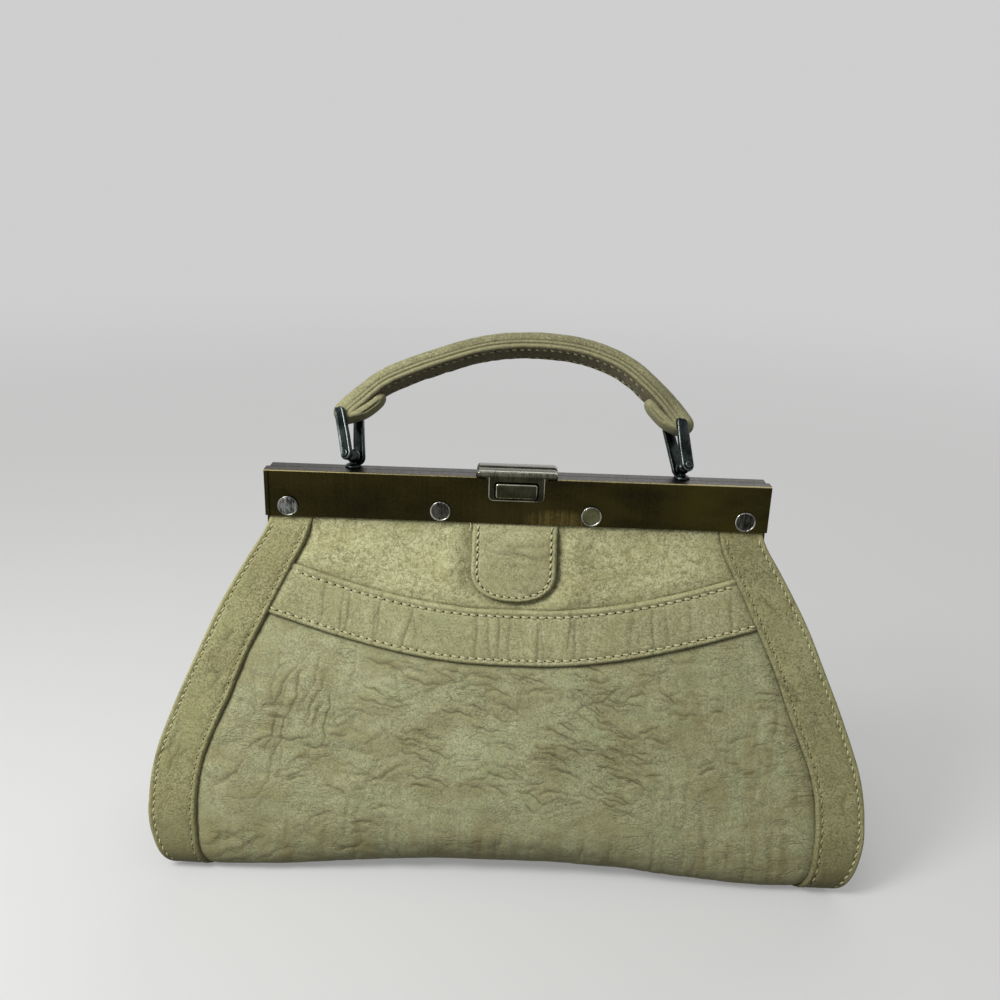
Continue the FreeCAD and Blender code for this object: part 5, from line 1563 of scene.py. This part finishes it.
def post(end, word):
    """A ball on a short neck with a wide collar."""
    ball = [(BALL_RADIUS * math.cos(turn), BALL_Z + BALL_RADIUS * math.sin(turn))
            for turn in np.radians(np.linspace(-60, 88, 16))]
    points, faces = turned_shape([*POST_COLLAR, *ball], 32)
    placed = points + np.array([POST_X * end, BALL_Y, 0.0])
    obj = gathered(f"handle_post_metal_{word}", [(placed, faces)], LINK_METAL)
    finish_piece(obj, "back_frame", [f"handle_post_{word}"])


# Nodes that stay as they are

def dress_nodes():
    """Finishes for the solids that show as they are."""
    looks = {"front_rail": BRASS, "back_rail": BRASS, "hinge_pin_left": NICKEL, "hinge_pin_right": NICKEL,
             "front_clamp_strip": STEEL, "back_clamp_strip": STEEL, "latch_strike": STEEL, "base_board": BOARD}
    for node, material in looks.items():
        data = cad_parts[node].data
        data.materials.clear()
        data.materials.append(material)


# Stage

CAMERA_PLACE = (-0.9, -386.2, 289.1)
CAMERA_YAW, CAMERA_PITCH, CAMERA_ROLL = (math.radians(a) for a in (-0.85, 19.32, 1.79))
# The floor in metres, and the distances in millimetres over which it turns into the backdrop.
FLOOR_HALF, FLOOR_FADE = 30.0, (250.0, 1800.0)
LAMP_COLOUR = (1.0, 1.0, 0.98)


def grey(level):
    """A plain grey."""
    return level, level, level, 1.0


BLACK, BACKDROP, FLOOR_SEEN, FLOOR_LIT, FLOOR_GLOW = grey(0.0), grey(0.62), grey(0.42), grey(0.16), grey(0.24)


def camera():
    """A camera that stands and is turned as the one that took the photograph."""
    data = bpy.data.cameras.new("camera")
    data.sensor_fit = "HORIZONTAL"
    data.sensor_width = 36.0
    data.lens = 36.0
    ahead = Vector((math.sin(CAMERA_YAW) * math.cos(CAMERA_PITCH), math.cos(CAMERA_YAW) * math.cos(CAMERA_PITCH),
                    -math.sin(CAMERA_PITCH)))
    right = Vector((math.cos(CAMERA_YAW), -math.sin(CAMERA_YAW), 0))
    up = right.cross(ahead)
    right, up = (right * math.cos(CAMERA_ROLL) + up * math.sin(CAMERA_ROLL),
                 up * math.cos(CAMERA_ROLL) - right * math.sin(CAMERA_ROLL))
    obj = bpy.data.objects.new("camera", data)
    turn = Matrix((right, up, -ahead)).transposed().to_4x4()
    obj.matrix_world = Matrix.Translation(Vector(CAMERA_PLACE) * MM) @ turn
    bpy.context.scene.collection.objects.link(obj)
    bpy.context.scene.camera = obj


def floor():
    """A pale floor that keeps the shadow, and turns into the backdrop further away."""
    mesh = bpy.data.meshes.new("floor")
    corners = ((-1, -1), (1, -1), (1, 1), (-1, 1))
    mesh.from_pydata([(x * FLOOR_HALF, y * FLOOR_HALF, 0) for x, y in corners], [], [(0, 1, 2, 3)])
    paint = Paint("pale_floor", Roughness=0.9, Specular_IOR_Level=0.0, Emission_Strength=1.0)
    seen = paint.seen()
    distance = paint.node("ShaderNodeVectorMath", {"operation": "LENGTH"}, {0: paint.place}, output="Value")
    away = paint.step(distance, *FLOOR_FADE)
    near = paint.mix(seen, FLOOR_LIT, FLOOR_SEEN)
    glow = paint.mix(away, FLOOR_GLOW, BACKDROP)
    paint.feed(Base_Color=paint.mix(away, near, BLACK), Emission_Color=paint.mix(seen, BLACK, glow))
    mesh.materials.append(paint.material)
    obj = bpy.data.objects.new("floor", mesh)
    bpy.context.scene.collection.objects.link(obj)


def lamp(name, kind, place, power, size, colour):
    """A soft lamp that shines from a place towards the bag."""
    data = bpy.data.lights.new(name, kind)
    data.energy = power
    data.color = colour
    if kind == "SUN":
        data.angle = size
    else:
        data.shape = "DISK"
        data.size = size
    obj = bpy.data.objects.new(name, data)
    obj.location = place
    obj.rotation_euler = (Vector((0, 0, 0.1)) - Vector(place)).to_track_quat("-Z", "Y").to_euler()
    bpy.context.scene.collection.objects.link(obj)


def light():
    """A pale backdrop, an even sky and three soft lamps."""
    world = bpy.data.worlds.new("studio")
    world.use_nodes = True
    sky = Nodes(world.node_tree)
    above = sky.node("ShaderNodeBackground", inputs={"Color": (1.0, 1.0, 0.99, 1.0), "Strength": 0.34})
    backdrop = sky.node("ShaderNodeBackground", inputs={"Color": BACKDROP, "Strength": 1.0})
    choice = sky.node("ShaderNodeMixShader", inputs={0: sky.seen(), 1: above, 2: backdrop})
    sky.tree.links.new(choice.socket, sky.tree.nodes["World Output"].inputs["Surface"])
    bpy.context.scene.world = world
    lamp("skylight", "SUN", (-0.6, -0.5, 1.6), 0.65, math.radians(30), LAMP_COLOUR)
    lamp("window", "AREA", (-0.38, -0.28, 0.5), 3.0, 0.25, LAMP_COLOUR)
    lamp("back_window", "SUN", (0.4, 1.4, 0.7), 1.0, math.radians(60), LAMP_COLOUR)


# Putting the bag together

front_centre()
for end, word in ENDS:
    side_band(f"front_side_leather_{word}", FRONT, end, "bag", [f"front_side_band_{word}"])
    side_stitches(FRONT, end, f"front_{word}", "bag")
    gusset(end, word)
    handle_loop(end, word)
    link(end, word)
    post(end, word)
clasp_tab()
front_stitches()
tab_thread()
back_leather()
base_leather()
lining()
rivets(FRONT, "front", "bag")
rivets(BACK, "back", "back_frame")
lock_plate()
clasp_cap()
push_button()
latch_spring()
handle_cover()
handle_stitches()
dress_nodes()
floor()
light()
camera()
bpy.context.scene.view_settings.view_transform = "Standard"
